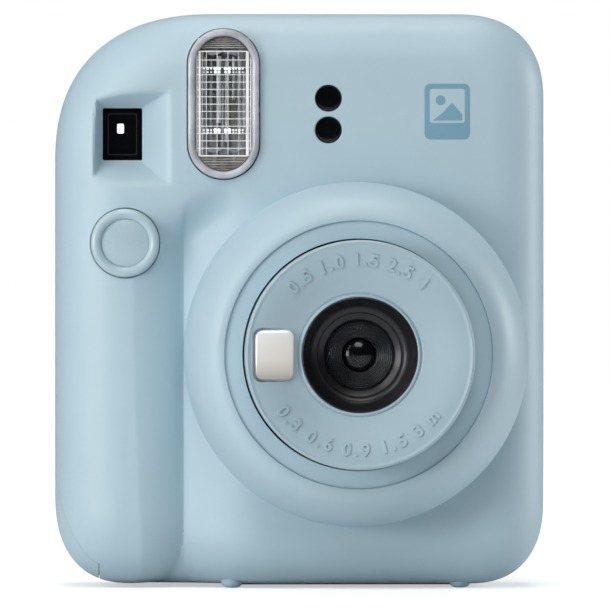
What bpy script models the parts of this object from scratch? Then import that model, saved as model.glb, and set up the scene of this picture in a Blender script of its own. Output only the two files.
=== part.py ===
"""Instant film camera, built as separate pieces with their joints at rest (lens out, all doors shut).

Lengths are in millimetres and are turned into metres when a mesh is made.
x runs to the right of the front, z runs up from the surface that it stands on, and d is the
distance forward from the rearmost point, the eyepiece. The front faces -Y.
"""
import math

import bmesh
import bpy
from mathutils import Matrix, Vector

MM = 0.001
GAP = 0.3                       # clearance between touching pieces

# Body
WIDTH, HEIGHT = 104.0, 122.0
FOOT_DROP = 0.8                 # the feet stand out this far below the body
LEFT, RIGHT = -WIDTH / 2, WIDTH / 2
BOTTOM, TOP = FOOT_DROP, HEIGHT
WALL = 2.0
BACK_D, SEAM_D, FRONT_D = 2.0, 10.0, 45.0
FRONT_ROUND, BACK_ROUND = 11.0, 6.0
CORNER_POWER = 2.4              # exponent of the superelliptic corners
CORNERS = {"bottom_left": (16.0, 19.0), "bottom_right": (16.0, 18.0),
           "top_right": (18.6, 18.5), "top_left": (34.0, 32.0)}
CORNER_STEPS = 7
ROUND_STEPS = 4

# Grip column beside the main block
GRIP_X, GRIP_HALF, GRIP_BASE_D = -38.5, 14.5, 32.0
CREASE_X, CREASE_D, FLANK_ROUND = -24.7, 36.0, 9.0
GRIP_FULL_Z, GRIP_FADE_Z = 66.0, 80.0

# Lens
LENS_X, LENS_Z = 11.7, 49.7
BEZEL_R, BEZEL_RIM_R, BEZEL_BASE_D, BEZEL_FRONT_D = 36.4, 28.0, 34.0, 63.6
RING_R, RING_HOLE_R, RING_FRONT_D, RING_BACK_D = 27.7, 24.2, 62.6, 40.0
BARREL_R, BARREL_BACK_D, LENS_FRONT_D = 23.9, 46.5, 73.6
TRIM_R, IRIS_R = 12.2, 3.5
MIRROR_X, MIRROR_SIZE = LENS_X - 17.8, (8.25, 10.7)
LATHE_STEPS = 40

# Flash, finder, sensors and release
FLASH_X, FLASH_Z, FLASH_SIZE, FLASH_FRONT_D = -16.3, 102.6, (15.1, 31.7), 46.4
FINDER_X, FINDER_Z, FINDER_SIZE, FINDER_FLOOR_D = -37.65, 96.3, (8.4, 11.1), 38.5
FINDER_MOUTH = (-44.6, -26.8, 84.6, 105.8)      # left, right, bottom, top at the front
SENSOR_X, SENSOR_ZS, SENSOR_R = 5.9, (103.8, 97.1), 2.8
BUTTON_X, BUTTON_Z, BUTTON_R, BUTTON_FRONT_D = -37.1, 73.2, 7.1, 45.8

# Strap lugs: a hole in each side with a bar behind it
STRAP_D, STRAP_Z, STRAP_BAR_X = (12.5, 18.5), (93.5, 99.7), 48.6

# Film path
PACK_X, PACK_Z = (LENS_X - 32.0, LENS_X + 32.0), (8.0, 100.0)
FILM_D = 17.3
APERTURE = (46.0, 62.0)
CHAMBER_BACK_D, CHAMBER_FRONT_D = 7.2, 19.0
SLOT_SIZE = (58.0, 5.0)
ROLLER_Z, ROLLER_R, ROLLER_DS = 105.5, 3.0, (20.3, 13.7)

# Back door
DOOR_LEFT, DOOR_RIGHT, DOOR_INSET, DOOR_THICK = -24.0, 47.4, 4.3, 2.2
DOOR_TAB_X, DOOR_TAB_Z = 42.9, (13.2, 107.8)    # beyond this x the door is only this tall
HINGE_X, HINGE_R = 45.5, 2.2
HINGE_D = BACK_D + DOOR_THICK
HINGE_Z = (24.0, 96.0)

# Battery door in the left side of the grip
BATTERY_TOP, BATTERY_EDGE_X, BATTERY_FOOT_X = 61.4, -49.2, -42.7
BATTERY_CURVE_Z = (24.0, 2.0)
BATTERY_HINGE = (-42.9, 1.7)
CELL_X, CELL_R, CELL_Z, CELL_DS = -39.2, 7.1, (10.0, 60.4), (18.6, 33.4)

# Gears: module 0.5
MODULE = 0.5
PINION_TEETH, DRIVE_TEETH, ROLLER_TEETH = 8, 28, 18
DRIVE_GEAR_DZ = (27.0, 96.15)
MOTOR_DZ = (27.0, 87.15)
GEAR_X = (46.4, 48.6)

TOTAL_DEPTH = LENS_FRONT_D
BODY_BLUE = (0.56, 0.70, 0.76)
BLACK = (0.02, 0.02, 0.022)
STEEL = (0.6, 0.6, 0.6)


def at(x, d, z):
    """World point in metres of a place given in millimetres."""
    return Vector((x, TOTAL_DEPTH / 2 - d, z)) * MM


# ---------------------------------------------------------------- meshes

def finish(name, bm, colour=None, rough=0.5, metal=0.0, origin=None, smooth=30):
    """Turn a bmesh into a named object. Without a colour it is a cutter."""
    bmesh.ops.remove_doubles(bm, verts=bm.verts, dist=0.0005 * MM)
    bmesh.ops.recalc_face_normals(bm, faces=bm.faces)
    mesh = bpy.data.meshes.new(name)
    bm.to_mesh(mesh)
    bm.free()
    mesh.shade_smooth()
    mesh.set_sharp_from_angle(angle=math.radians(smooth))
    obj = bpy.data.objects.new(name, mesh)
    bpy.context.scene.collection.objects.link(obj)
    if colour is None:
        obj.hide_render = True
        obj.display_type = "WIRE"
        return obj
    if origin is not None:
        mesh.transform(Matrix.Translation(-origin))
        obj.location = origin
    material = bpy.data.materials.new(name)
    material.use_nodes = True
    shader = material.node_tree.nodes["Principled BSDF"]
    shader.inputs["Base Color"].default_value = (*colour, 1.0)
    shader.inputs["Roughness"].default_value = rough
    shader.inputs["Metallic"].default_value = metal
    mesh.materials.append(material)
    return obj


def apply_boolean(obj, other, operation="DIFFERENCE"):
    modifier = obj.modifiers.new(other.name, "BOOLEAN")
    modifier.object = other
    modifier.operation = operation
    modifier.solver = "EXACT"


def cut(obj, *cutters):
    for cutter in cutters:
        apply_boolean(obj, cutter)


def loft(rings):
    """Closed solid through rings of equal point counts, capped at both ends."""
    bm = bmesh.new()
    loops = [[bm.verts.new(point) for point in ring] for ring in rings]
    count = len(rings[0])
    for low, high in zip(loops, loops[1:]):
        for i in range(count):
            j = (i + 1) % count
            bm.faces.new((low[i], low[j], high[j], high[i]))
    bm.faces.new(list(reversed(loops[0])))
    bm.faces.new(loops[-1])
    return bm


def box(x, d, z):
    """Box from its two limits in x, d and z."""
    bm = bmesh.new()
    low, high = at(x[0], d[1], z[0]), at(x[1], d[0], z[1])
    middle, size = (low + high) / 2, high - low
    made = bmesh.ops.create_cube(bm, size=1.0)
    bmesh.ops.scale(bm, vec=size, verts=made["verts"])
    bmesh.ops.translate(bm, vec=middle, verts=made["verts"])
    return bm


def along(axis, centre, s, u, v):
    """Point at s along an axis named x, d or z, and u, v across it."""
    if axis == "x":
        return at(s, centre[0] + u, centre[1] + v)
    if axis == "d":
        return at(centre[0] + u, s, centre[1] + v)
    return at(centre[0] + u, centre[1] + v, s)


def circle(axis, centre, radius, s, steps):
    turns = [2 * math.pi * i / steps for i in range(steps)]
    return [along(axis, centre, s, radius * math.cos(t), radius * math.sin(t)) for t in turns]


def cylinder(axis, centre, radius, span, steps=20):
    return loft([circle(axis, centre, radius, s, steps) for s in span])


def lathe(axis, centre, profile, steps=LATHE_STEPS):
    """Ring-shaped solid: a closed profile of (radius, s) points turned about an axis."""
    bm = bmesh.new()
    loops = [[bm.verts.new(p) for p in circle(axis, centre, r, s, steps)] for r, s in profile]
    for low, high in zip(loops, loops[1:] + loops[:1]):
        for i in range(steps):
            j = (i + 1) % steps
            bm.faces.new((low[i], low[j], high[j], high[i]))
    return bm


def turned(axis, centre, profile, steps=LATHE_STEPS):
    """Solid of revolution without a hole: an open profile of (radius, s) points."""
    return loft([circle(axis, centre, r, s, steps) for r, s in profile])


def prism(points, axis, span):
    """Outline of (u, v) points pushed along an axis."""
    return loft([[along(axis, (0, 0), s, u, v) for u, v in points] for s in span])


# ---------------------------------------------------------------- outlines

def rounded(left, right, bottom, top, radii, power=CORNER_POWER, steps=CORNER_STEPS):
    """Rounded rectangle in x and z, anticlockwise from the bottom left corner."""
    names = ("bottom_left", "bottom_right", "top_right", "top_left")
    points = []
    for index, name in enumerate(names):
        rx, rz = radii[name]
        cx = left + rx if "left" in name else right - rx
        cz = bottom + rz if "bottom" in name else top - rz
        for step in range(steps + 1):
            t = math.radians(180 + 90 * index + 90 * step / steps)
            c, s = math.cos(t), math.sin(t)
            x = cx + rx * math.copysign(abs(c) ** (2 / power), c)
            z = cz + rz * math.copysign(abs(s) ** (2 / power), s)
            points.append((x, z))
    return points


def equal_radii(radius):
    return {name: (radius, radius) for name in CORNERS}


def body_outline(inset):
    radii = {name: (rx - inset, rz - inset) for name, (rx, rz) in CORNERS.items()}
    return rounded(LEFT + inset, RIGHT - inset, BOTTOM + inset, TOP - inset, radii)


def capsule(centre, size, inset=0.0, steps=6):
    """Upright outline with round ends."""
    radius, half = size[0] / 2 - inset, size[1] / 2 - inset
    box_limits = (centre[0] - radius, centre[0] + radius, centre[1] - half, centre[1] + half)
    return rounded(*box_limits, equal_radii(radius - 0.001), power=2.0, steps=steps)


def small_outline(centre, size, radius, steps=3):
    half_x, half_z = size[0] / 2, size[1] / 2
    box_limits = (centre[0] - half_x, centre[0] + half_x, centre[1] - half_z, centre[1] + half_z)
    return rounded(*box_limits, equal_radii(radius), power=2.0, steps=steps)


def plate(points, span):
    """Outline in x and z pushed forward through a span of d."""
    return prism(points, "d", span)


# ---------------------------------------------------------------- shells

def body_rings(inset, start_d, end_d, turn_round):
    """Rings of the body from start_d, with a quarter-round edge that ends on end_d."""
    sign = 1 if end_d > start_d else -1
    rings = [[at(x, start_d, z) for x, z in body_outline(inset)]]
    for step in range(ROUND_STEPS + 1):
        t = math.radians(90 * step / ROUND_STEPS)
        d = end_d - sign * turn_round * (1 - math.sin(t))
        outline = body_outline(inset + turn_round * (1 - math.cos(t)))
        rings.append([at(x, d, z) for x, z in outline])
    return rings


def grip_groove(wall):
    """Solid that fills the valley between the grip column and the main block."""
    peak_depth = FRONT_D - wall - GRIP_BASE_D
    half = GRIP_HALF - wall
    floor_d = CREASE_D - wall
    points = [(-36.0, FRONT_D + 6)]
    reach = math.sqrt(1 - ((floor_d - GRIP_BASE_D) / peak_depth) ** 2) * half
    for step in range(6):
        x = -36.0 + (GRIP_X + reach + 36.0) * step / 5
        d = GRIP_BASE_D + peak_depth * math.sqrt(1 - ((x - GRIP_X) / half) ** 2)
        points.append((x, d))
    flank_centre = CREASE_X + FLANK_ROUND
    radius = FLANK_ROUND - wall
    for step in range(5):
        t = math.radians(85 * step / 4)
        points.append((flank_centre - radius * math.cos(t), floor_d + radius * math.sin(t)))
    points.append((points[-1][0], FRONT_D + 6))
    depth = FRONT_D - floor_d
    spans = ((BOTTOM - 5, 0.0), (GRIP_FULL_Z, 0.0), (GRIP_FULL_Z + 7, 0.3), (GRIP_FADE_Z, 1.0))
    rings = [[at(x, d + depth * lift, z) for x, d in points] for z, lift in spans]
    return loft(rings)


def finder_funnel(grow, floor_d):
    """Pyramid whose mouth is at the front, for the finder's recess."""
    left, right, bottom, top = FINDER_MOUTH
    half_x, half_z = FINDER_SIZE[0] / 2 + grow, FINDER_SIZE[1] / 2 + grow
    inner = [(FINDER_X - half_x, FINDER_Z - half_z), (FINDER_X + half_x, FINDER_Z - half_z),
             (FINDER_X + half_x, FINDER_Z + half_z), (FINDER_X - half_x, FINDER_Z + half_z)]
    outer = [(left - grow, bottom - grow), (right + grow, bottom - grow),
             (right + grow, top + grow), (left - grow, top + grow)]
    return loft([[at(x, floor_d, z) for x, z in inner],
                 [at(x, FRONT_D + 1.5, z) for x, z in outer]])


def battery_region(grow):
    """Outline in x and z of the battery door, reaching past the outside of the body."""
    points = [(LEFT - 8, -6.0), (BATTERY_FOOT_X + grow, -6.0)]
    high, low = BATTERY_CURVE_Z
    for step in range(6):
        t = math.radians(90 - 90 * step / 5)
        x = BATTERY_EDGE_X + (BATTERY_FOOT_X - BATTERY_EDGE_X) * (1 - math.cos(t)) + grow
        points.append((x, high - (high - low) * math.sin(t)))
    points += [(BATTERY_EDGE_X + grow, BATTERY_TOP + grow - 1.0),
               (BATTERY_EDGE_X + grow - 1.0, BATTERY_TOP + grow), (LEFT - 8, BATTERY_TOP + grow)]
    return points


def inner_space():
    """What the front cover holds: its inside, less the walls of the finder's recess."""
    space = finish("cut_inner_space", loft(body_rings(WALL, SEAM_D - 2, FRONT_D - WALL,
                                                      FRONT_ROUND - WALL)))
    groove = finish("cut_inner_groove", grip_groove(WALL))
    funnel = finish("cut_funnel_wall", finder_funnel(WALL, FINDER_FLOOR_D - 1.6))
    cut(space, groove, funnel)
    return space


def front_shell(name, space, groove):
    rings = body_rings(0.0, SEAM_D + GAP / 2, FRONT_D, FRONT_ROUND)
    shell = finish(name, loft(rings), BODY_BLUE, 0.45)
    cut(shell, groove, space)
    return shell


def build_covers():
    space = inner_space()
    groove = finish("cut_groove", grip_groove(0.0))
    front = front_shell("front_cover", space, groove)
    hole = BEZEL_R + GAP
    cutters = [
        finish("cut_lens", cylinder("d", (LENS_X, LENS_Z), hole, (BEZEL_BASE_D - 3, 60), LATHE_STEPS)),
        finish("cut_flash", plate(capsule((FLASH_X, FLASH_Z), FLASH_SIZE, -GAP), (34, 60))),
        finish("cut_finder", finder_funnel(0.0, FINDER_FLOOR_D)),
        finish("cut_finder_window", plate(small_outline((FINDER_X, FINDER_Z), FINDER_SIZE, 0.5),
                                          (20, FINDER_FLOOR_D + 1))),
        finish("cut_button", cylinder("d", (BUTTON_X, BUTTON_Z), BUTTON_R + GAP, (38, 60), 28)),
        finish("cut_film_slot", box((LENS_X - SLOT_SIZE[0] / 2, LENS_X + SLOT_SIZE[0] / 2),
                                    (14.5, 14.5 + SLOT_SIZE[1]), (TOP - 8, TOP + 4))),
        finish("cut_battery_door", plate(battery_region(GAP), (SEAM_D - 1, 60))),
    ]
    for index, z in enumerate(SENSOR_ZS):
        tube = cylinder("d", (SENSOR_X, z), SENSOR_R + GAP / 2, (38, 60), 16)
        cutters.append(finish("cut_sensor_%d" % index, tube))
    for side, sign in (("left", -1), ("right", 1)):
        limits = sorted((sign * (RIGHT - 6), sign * (RIGHT + 4)))
        cutters.append(finish("cut_strap_" + side, box(limits, STRAP_D, STRAP_Z)))
    cut(front, *cutters)

    door = front_shell("battery_door", space, groove)
    door.data.transform(Matrix.Translation(-at(BATTERY_HINGE[0], 25, BATTERY_HINGE[1])))
    door.location = at(BATTERY_HINGE[0], 25, BATTERY_HINGE[1])
    region = finish("keep_battery_door", plate(battery_region(0.0), (SEAM_D + GAP, 60)))
    apply_boolean(door, region, "INTERSECT")
    cut(door, finish("cut_latch", box((LEFT - 4, LEFT + 5), (20.7, 29.3), (50.8, 59.5))))


def hinge_corners(prefix, shift, grow, span):
    """Blocks at the two corners beside the hinge, where the door is cut back so that it can swing."""
    low, high = DOOR_TAB_Z
    return [finish(prefix + "_corner_low", box((DOOR_TAB_X + shift, RIGHT), span, (-5, low + grow))),
            finish(prefix + "_corner_high", box((DOOR_TAB_X + shift, RIGHT), span, (high - grow, 130)))]


def build_rear_cover():
    rings = body_rings(0.0, SEAM_D - GAP / 2, BACK_D, BACK_ROUND)
    rear = finish("rear_cover", loft(rings), BODY_BLUE, 0.45)
    inside = body_rings(WALL, SEAM_D + 2, BACK_D + WALL, BACK_ROUND - WALL)
    radii = {"bottom_left": (3.0, 3.0), "top_left": (3.0, 3.0),
             "bottom_right": (11.5, 12.4), "top_right": (14.1, 13.9)}
    outline = rounded(DOOR_LEFT - GAP, DOOR_RIGHT + 1.5, BOTTOM + DOOR_INSET - GAP,
                      TOP - DOOR_INSET + GAP, radii)
    opening = finish("cut_back_opening", plate(outline, (-2, SEAM_D + 4)))
    cut(opening, *hinge_corners("keep", 1.6, -GAP, (-4, SEAM_D - 1)))
    cut(rear,
        finish("cut_rear_inside", loft(inside)),
        opening,
        finish("cut_eyepiece", plate(small_outline((FINDER_X, FINDER_Z), (11.0, 13.6), 2.0), (-2, 8))),
        finish("cut_counter", plate(small_outline((-36.0, 26.6), (4.6, 3.8), 0.8), (-2, 8))))


def build_bezel():
    profile = [(BEZEL_R, BEZEL_BASE_D), (BEZEL_R, FRONT_D + 0.4)]
    rise, reach = BEZEL_FRONT_D - FRONT_D - 0.4, BEZEL_R - BEZEL_RIM_R - 0.6
    for step in range(1, 7):
        t = math.radians(90 * step / 6)
        profile.append((BEZEL_R - reach * (1 - math.cos(t)), FRONT_D + 0.4 + rise * math.sin(t)))
    profile += [(BEZEL_RIM_R, BEZEL_FRONT_D - 0.6), (BEZEL_RIM_R, 56.0), (32.4, 54.0),
                (BEZEL_R - 2.2, 46.0), (BEZEL_R - 2.2, BEZEL_BASE_D)]
    finish("lens_bezel", lathe("d", (LENS_X, LENS_Z), profile), BODY_BLUE, 0.45)


# ---------------------------------------------------------------- lens

def lens_ring(name, profile, colour, rough=0.45, metal=0.0, steps=LATHE_STEPS):
    bm = lathe("d", (LENS_X, LENS_Z), profile, steps)
    return finish(name, bm, colour, rough, metal, at(LENS_X, LENS_FRONT_D, LENS_Z))


def build_lens():
    front = LENS_FRONT_D
    lens_ring("mode_ring", [(RING_R, 57.0), (RING_R, RING_FRONT_D - 0.5), (RING_R - 0.5, RING_FRONT_D),
                            (RING_HOLE_R, RING_FRONT_D), (RING_HOLE_R, RING_BACK_D),
                            (25.9, RING_BACK_D), (25.9, 57.0)], BODY_BLUE)
    lens_ring("lens_barrel", [(BARREL_R, BARREL_BACK_D), (BARREL_R, front - 2.6),
                              (BARREL_R - 1.7, front - 2.6), (BARREL_R - 1.7, BARREL_BACK_D)], BODY_BLUE)
    disc = lens_ring("lens_face", [(BARREL_R, front - 2.3), (BARREL_R, front - 0.6),
                                   (BARREL_R - 0.6, front), (TRIM_R + GAP, front - 1.1),
                                   (TRIM_R + GAP, front - 3.4), (BARREL_R - 2.6, front - 3.4),
                                   (BARREL_R - 2.6, front - 2.3)], BODY_BLUE)
    pocket = small_outline((MIRROR_X, LENS_Z), [s + 2 * GAP for s in MIRROR_SIZE], 1.6)
    cut(disc, finish("cut_mirror_pocket", plate(pocket, (front - 2.0, front + 3))))
    mirror = small_outline((MIRROR_X, LENS_Z), MIRROR_SIZE, 1.5)
    finish("selfie_mirror", plate(mirror, (front - 1.7, front - 0.3)), (0.85, 0.85, 0.84), 0.08, 1.0)
    lens_ring("lens_trim_ring", [(TRIM_R, front - 3.4), (TRIM_R, front - 0.8), (TRIM_R - 0.5, front - 0.4),
                                 (8.5, front - 3.6), (8.5, front - 5.0), (7.3, front - 5.0),
                                 (7.3, front - 9.0), (TRIM_R, front - 9.0)], BLACK, 0.35, steps=32)
    finish("front_lens", turned("d", (LENS_X, LENS_Z), [(7.0, front - 9.0), (7.0, front - 7.0),
                                                        (4.5, front - 6.2), (1.5, front - 5.9)], 24),
           (0.05, 0.06, 0.07), 0.03)
    lens_ring("shutter_housing", [(IRIS_R, front - 12.6), (IRIS_R, front - 15.6), (8.0, front - 15.6),
                                  (8.0, front - 22.0), (BARREL_R - 2.0, front - 22.0), (BARREL_R - 2.0, front - 12.6)],
              BLACK, 0.6, steps=32)
    finish("rear_lens", turned("d", (LENS_X, LENS_Z), [(7.6, front - 20.6), (7.6, front - 17.6),
                                                       (5.0, front - 16.6), (1.5, front - 16.2)], 24),
           (0.05, 0.06, 0.07), 0.03)
    pivot = (LENS_X + 9.0, LENS_Z + 1.5)
    blade = [(LENS_X - 5.0, LENS_Z - 4.6), (LENS_X + 3.0, LENS_Z - 5.0), (pivot[0] + 2.0, pivot[1] - 2.4),
             (pivot[0] + 2.4, pivot[1] + 1.6), (LENS_X + 3.0, LENS_Z + 5.2), (LENS_X - 5.0, LENS_Z + 4.6)]
    finish("shutter_blade", plate(blade, (front - 12.2, front - 11.6)), BLACK, 0.4, 0.0,
           at(pivot[0], front - 12, pivot[1]))


# ---------------------------------------------------------------- front fittings

def build_flash():
    centre = (FLASH_X, FLASH_Z)
    lens = finish("flash_lens", plate(capsule(centre, FLASH_SIZE), (38.0, FLASH_FRONT_D)),
                  (0.85, 0.88, 0.9), 0.08)
    cut(lens, finish("cut_flash_lens", plate(capsule(centre, FLASH_SIZE, 1.4), (30.0, FLASH_FRONT_D - 1.4))))
    size = (FLASH_SIZE[0] - 2 * 1.4 - 2 * GAP, FLASH_SIZE[1] - 2 * 1.4 - 2 * GAP)
    reflector = finish("flash_reflector", plate(capsule(centre, size), (33.5, FLASH_FRONT_D - 1.7)),
                       (0.8, 0.8, 0.8), 0.15, 1.0)
    trough = [[at(x, 34.5, z) for x, z in small_outline(centre, (2.5, 21.0), 1.0, 6)],
              [at(x, 50.0, z) for x, z in capsule(centre, size, -1.2)]]
    cut(reflector, finish("cut_reflector", loft(trough)))
    finish("flash_tube", cylinder("z", (FLASH_X, 38.6), 1.2, (FLASH_Z - 9.0, FLASH_Z + 9.0), 12),
           (0.9, 0.9, 0.9), 0.05)
    finish("flash_capacitor", cylinder("z", (-22.6, 27.2), 5.0, (18.0, 54.0), 20), BLACK, 0.3)


def build_finder():
    centre = (FINDER_X, FINDER_Z)
    window_size = [s - 2 * GAP for s in FINDER_SIZE]
    finish("viewfinder_window", plate(small_outline(centre, window_size, 0.4),
                                      (FINDER_FLOOR_D - 1.4, FINDER_FLOOR_D - 0.3)), BLACK, 0.05)
    tube_size = (11.4, 14.0)
    tube = finish("viewfinder_tube", plate(small_outline(centre, tube_size, 0.8), (4.4, 36.4)), BLACK, 0.6)
    bore = [s - 2.4 for s in tube_size]
    cut(tube, finish("cut_tube_bore", plate(small_outline(centre, bore, 0.4), (0.0, 45.0))))
    eyepiece = finish("viewfinder_eyepiece", plate(small_outline(centre, (10.4, 13.0), 1.8), (0.0, 4.0)),
                      BLACK, 0.4)
    cut(eyepiece, finish("cut_eye_dish", plate(small_outline(centre, (6.4, 8.4), 1.2), (-2.0, 3.0))))


def build_front_fittings():
    for name, z in zip(("sensor_window_upper", "sensor_window_lower"), SENSOR_ZS):
        finish(name, cylinder("d", (SENSOR_X, z), SENSOR_R - 0.2, (41.5, 43.8), 16), BLACK, 0.08)
    centre = (BUTTON_X, BUTTON_Z)
    front = BUTTON_FRONT_D
    profile = [(2.0, front - 12.0), (2.0, front - 5.0), (BUTTON_R, front - 5.0), (BUTTON_R, front - 0.8),
               (BUTTON_R - 0.8, front), (5.4, front), (4.8, front - 0.7)]
    finish("shutter_button", turned("d", centre, profile, 28), BODY_BLUE, 0.4, 0.0,
           at(BUTTON_X, front, BUTTON_Z))
    button_spring(centre, (front - 10.6, front - 5.5))


def button_spring(centre, span, radius=3.2, wire=0.35, turns=4, per_turn=12, sides=5):
    """Coil under the release button: a round wire swept along a helix."""
    rings = []
    count = turns * per_turn
    pitch = (span[1] - span[0]) / turns
    for i in range(count + 1):
        t = 2 * math.pi * i / per_turn
        s = span[0] + pitch * i / per_turn
        ring = []
        for k in range(sides):
            a = 2 * math.pi * k / sides
            r = radius + wire * math.cos(a)
            ring.append(at(centre[0] + r * math.cos(t), s + wire * math.sin(a), centre[1] + r * math.sin(t)))
        rings.append(ring)
    finish("button_spring", loft(rings), STEEL, 0.3, 1.0)


def build_straps_and_feet():
    for side, sign in (("left", -1), ("right", 1)):
        limits = sorted((sign * STRAP_BAR_X, sign * (STRAP_BAR_X - 1.6)))
        finish("strap_bar_" + side, box(limits, (14.7, 16.3), (90.0, 100.6)), STEEL, 0.3, 1.0)
    for name, x in (("foot_left", -14.4), ("foot_right", 34.1)):
        dome = [(2.4, BOTTOM - 0.05), (2.3, 0.45), (1.9, 0.15), (1.3, 0.0)]
        finish(name, turned("z", (x, 33.0), dome, 16), BODY_BLUE, 0.5)
    finish("foot_rear", box((-16.0, 36.0), (13.0, 17.0), (0.0, BOTTOM - 0.05)), BODY_BLUE, 0.5)


# ---------------------------------------------------------------- inside

def build_film_path():
    left, right = PACK_X
    low, high = PACK_Z
    chamber = finish("film_chamber", box((left - 1.5, right + 1.5), (CHAMBER_BACK_D, CHAMBER_FRONT_D),
                                         (low - 1.5, high + 1.5)), BLACK, 0.7)
    half_x, half_z = APERTURE[0] / 2, APERTURE[1] / 2
    exit_limits = (LENS_X - SLOT_SIZE[0] / 2, LENS_X + SLOT_SIZE[0] / 2)
    cut(chamber,
        finish("cut_pack", box(PACK_X, (0, FILM_D), PACK_Z)),
        finish("cut_aperture", box((LENS_X - half_x, LENS_X + half_x), (10, 30),
                                   (LENS_Z - half_z, LENS_Z + half_z))),
        finish("cut_film_exit", box(exit_limits, (14.5, FILM_D + 0.001), (high - 3, high + 5))),
        finish("cut_claw_slot", box((-19.2, -17.0), (10, 30), (9.0, 23.0))))
    wide, tall = APERTURE[0] + 2.0, APERTURE[1] + 2.0
    outer = [((wide, tall), 19.3), ((wide, tall), 20.0), ((21.0, 21.0), 40.0)]
    cone = finish("dark_cone", loft([[at(x, d, z) for x, z in small_outline((LENS_X, LENS_Z), s, 1.0, 1)]
                                     for s, d in outer]), BLACK, 0.8)
    inner = [((46.0, 62.0), 18.0), ((46.0, 62.0), 19.7), ((18.6, 18.6), 41.0)]
    cut(cone, finish("cut_cone", loft([[at(x, d, z) for x, z in small_outline((LENS_X, LENS_Z), s, 0.8, 1)]
                                       for s, d in inner])))
    finish("light_seal", box((46.4, 49.4), (7.4, 9.4), (14.0, 86.0)), BLACK, 0.95)
    claw = box((-19.6, -16.6), (19.4, 20.8), (10.0, 20.0))
    claw_finger = box((-18.7, -17.5), (17.5, 20.0), (11.0, 13.0))
    piece = finish("film_claw", claw, STEEL, 0.4, 1.0)
    apply_boolean(piece, finish("add_claw_finger", claw_finger), "UNION")


def build_rollers():
    for name, d in zip(("roller_drive", "roller_idler"), ROLLER_DS):
        end = 44.4 if name == "roller_idler" else 50.0 - 1.6
        low, high = LENS_X - 28.3, LENS_X + 28.3
        steps = [(1.2, -20.2), (1.2, low), (ROLLER_R, low), (ROLLER_R, high), (1.2, high), (1.2, end)]
        finish(name, turned("x", (d, ROLLER_Z), steps, 16), (0.1, 0.1, 0.1), 0.4, 0.3,
               at(0, d, ROLLER_Z))
    bracket = finish("roller_bracket", box((-19.2, 44.8), (9.0, 25.0), (101.9, 110.0)), STEEL, 0.4, 1.0)
    cut(bracket, finish("cut_bracket", box((-18.0, 43.6), (10.0, 30.0), (90.0, 120.0))))
    for index, d in enumerate(ROLLER_DS):
        hole = cylinder("x", (d, ROLLER_Z), 1.5, (-25, 52), 12)
        cut(bracket, finish("cut_bracket_%d" % index, hole))


def gear(name, centre, teeth, span, bore, colour):
    """Spur gear about x whose teeth stop just short of the pitch line."""
    pitch = MODULE * teeth / 2
    tip, root = pitch - 0.1, pitch - 0.75
    points = []
    for tooth in range(teeth):
        for share, radius in ((0.0, root), (0.18, tip), (0.42, tip), (0.6, root)):
            t = 2 * math.pi * (tooth + share) / teeth
            points.append((centre[0] + radius * math.cos(t), centre[1] + radius * math.sin(t)))
    piece = finish(name, prism(points, "x", span), colour, 0.5, 0.0, at(0, *centre))
    if bore:
        hole = cylinder("x", centre, bore, (span[0] - 2, span[1] + 2), 12)
        cut(piece, finish("cut_bore_" + name, hole))


def build_drive():
    gear("roller_gear", (ROLLER_DS[0], ROLLER_Z), ROLLER_TEETH, GEAR_X, 1.25, (0.8, 0.8, 0.75))
    gear("drive_gear", DRIVE_GEAR_DZ, DRIVE_TEETH, GEAR_X, 1.25, (0.8, 0.8, 0.75))
    gear("motor_pinion", MOTOR_DZ, PINION_TEETH, GEAR_X, 0.0, (0.7, 0.6, 0.3))
    finish("gear_shaft", cylinder("x", DRIVE_GEAR_DZ, 1.2, (45.0, 49.6), 12), STEEL, 0.3, 1.0)
    motor = [(5.8, 22.0), (5.8, 43.4), (1.5, 43.4), (1.5, 44.8)]
    finish("drive_motor", turned("x", MOTOR_DZ, motor, 20), STEEL, 0.35, 1.0)


def build_electrics():
    finish("circuit_board", box((34.5, 48.4), (26.0, 27.6), (12.0, 76.0)), (0.05, 0.25, 0.1), 0.5)
    channel = finish("battery_box", box((-44.6, -30.2), (11.0, 38.0), (8.4, 62.4)), BLACK, 0.6)
    cut(channel, finish("cut_battery_space", box((-60.0, -31.4), (5.0, 50.0), (9.4, 61.2))))
    for name, z in (("battery_contact_lower", (9.5, 9.8)), ("battery_contact_upper", (60.6, 60.9))):
        finish(name, box((-44.0, -34.0), (13.0, 37.0), z), STEEL, 0.3, 1.0)
    for name, d in zip(("aa_cell_rear", "aa_cell_front"), CELL_DS):
        profile = [(CELL_R, CELL_Z[0]), (CELL_R, CELL_Z[1] - 1.2), (2.7, CELL_Z[1] - 1.2), (2.7, CELL_Z[1])]
        finish(name, turned("z", (CELL_X, d), profile, 20), (0.15, 0.15, 0.16), 0.35)
    finish("battery_latch", box((LEFT, LEFT + 2.2), (21.0, 29.0), (53.2, 59.2)), BODY_BLUE, 0.45)
    backing = finish("add_latch_plate", box((LEFT + 2.3 - GAP, LEFT + 3.1), (19.0, 31.0), (48.0, 60.2)))
    apply_boolean(bpy.data.objects["battery_latch"], backing, "UNION")
    finish("counter_window", plate(small_outline((-36.0, 26.6), (4.0, 3.2), 0.6), (2.3, 3.9)),
           (0.1, 0.12, 0.13), 0.05)
    finish("counter_dial", cylinder("d", (-36.0, 20.0), 8.6, (4.8, 6.0), 32), (0.85, 0.85, 0.85), 0.5, 0.0,
           at(-36.0, 5.4, 20.0))


# ---------------------------------------------------------------- back door

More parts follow.
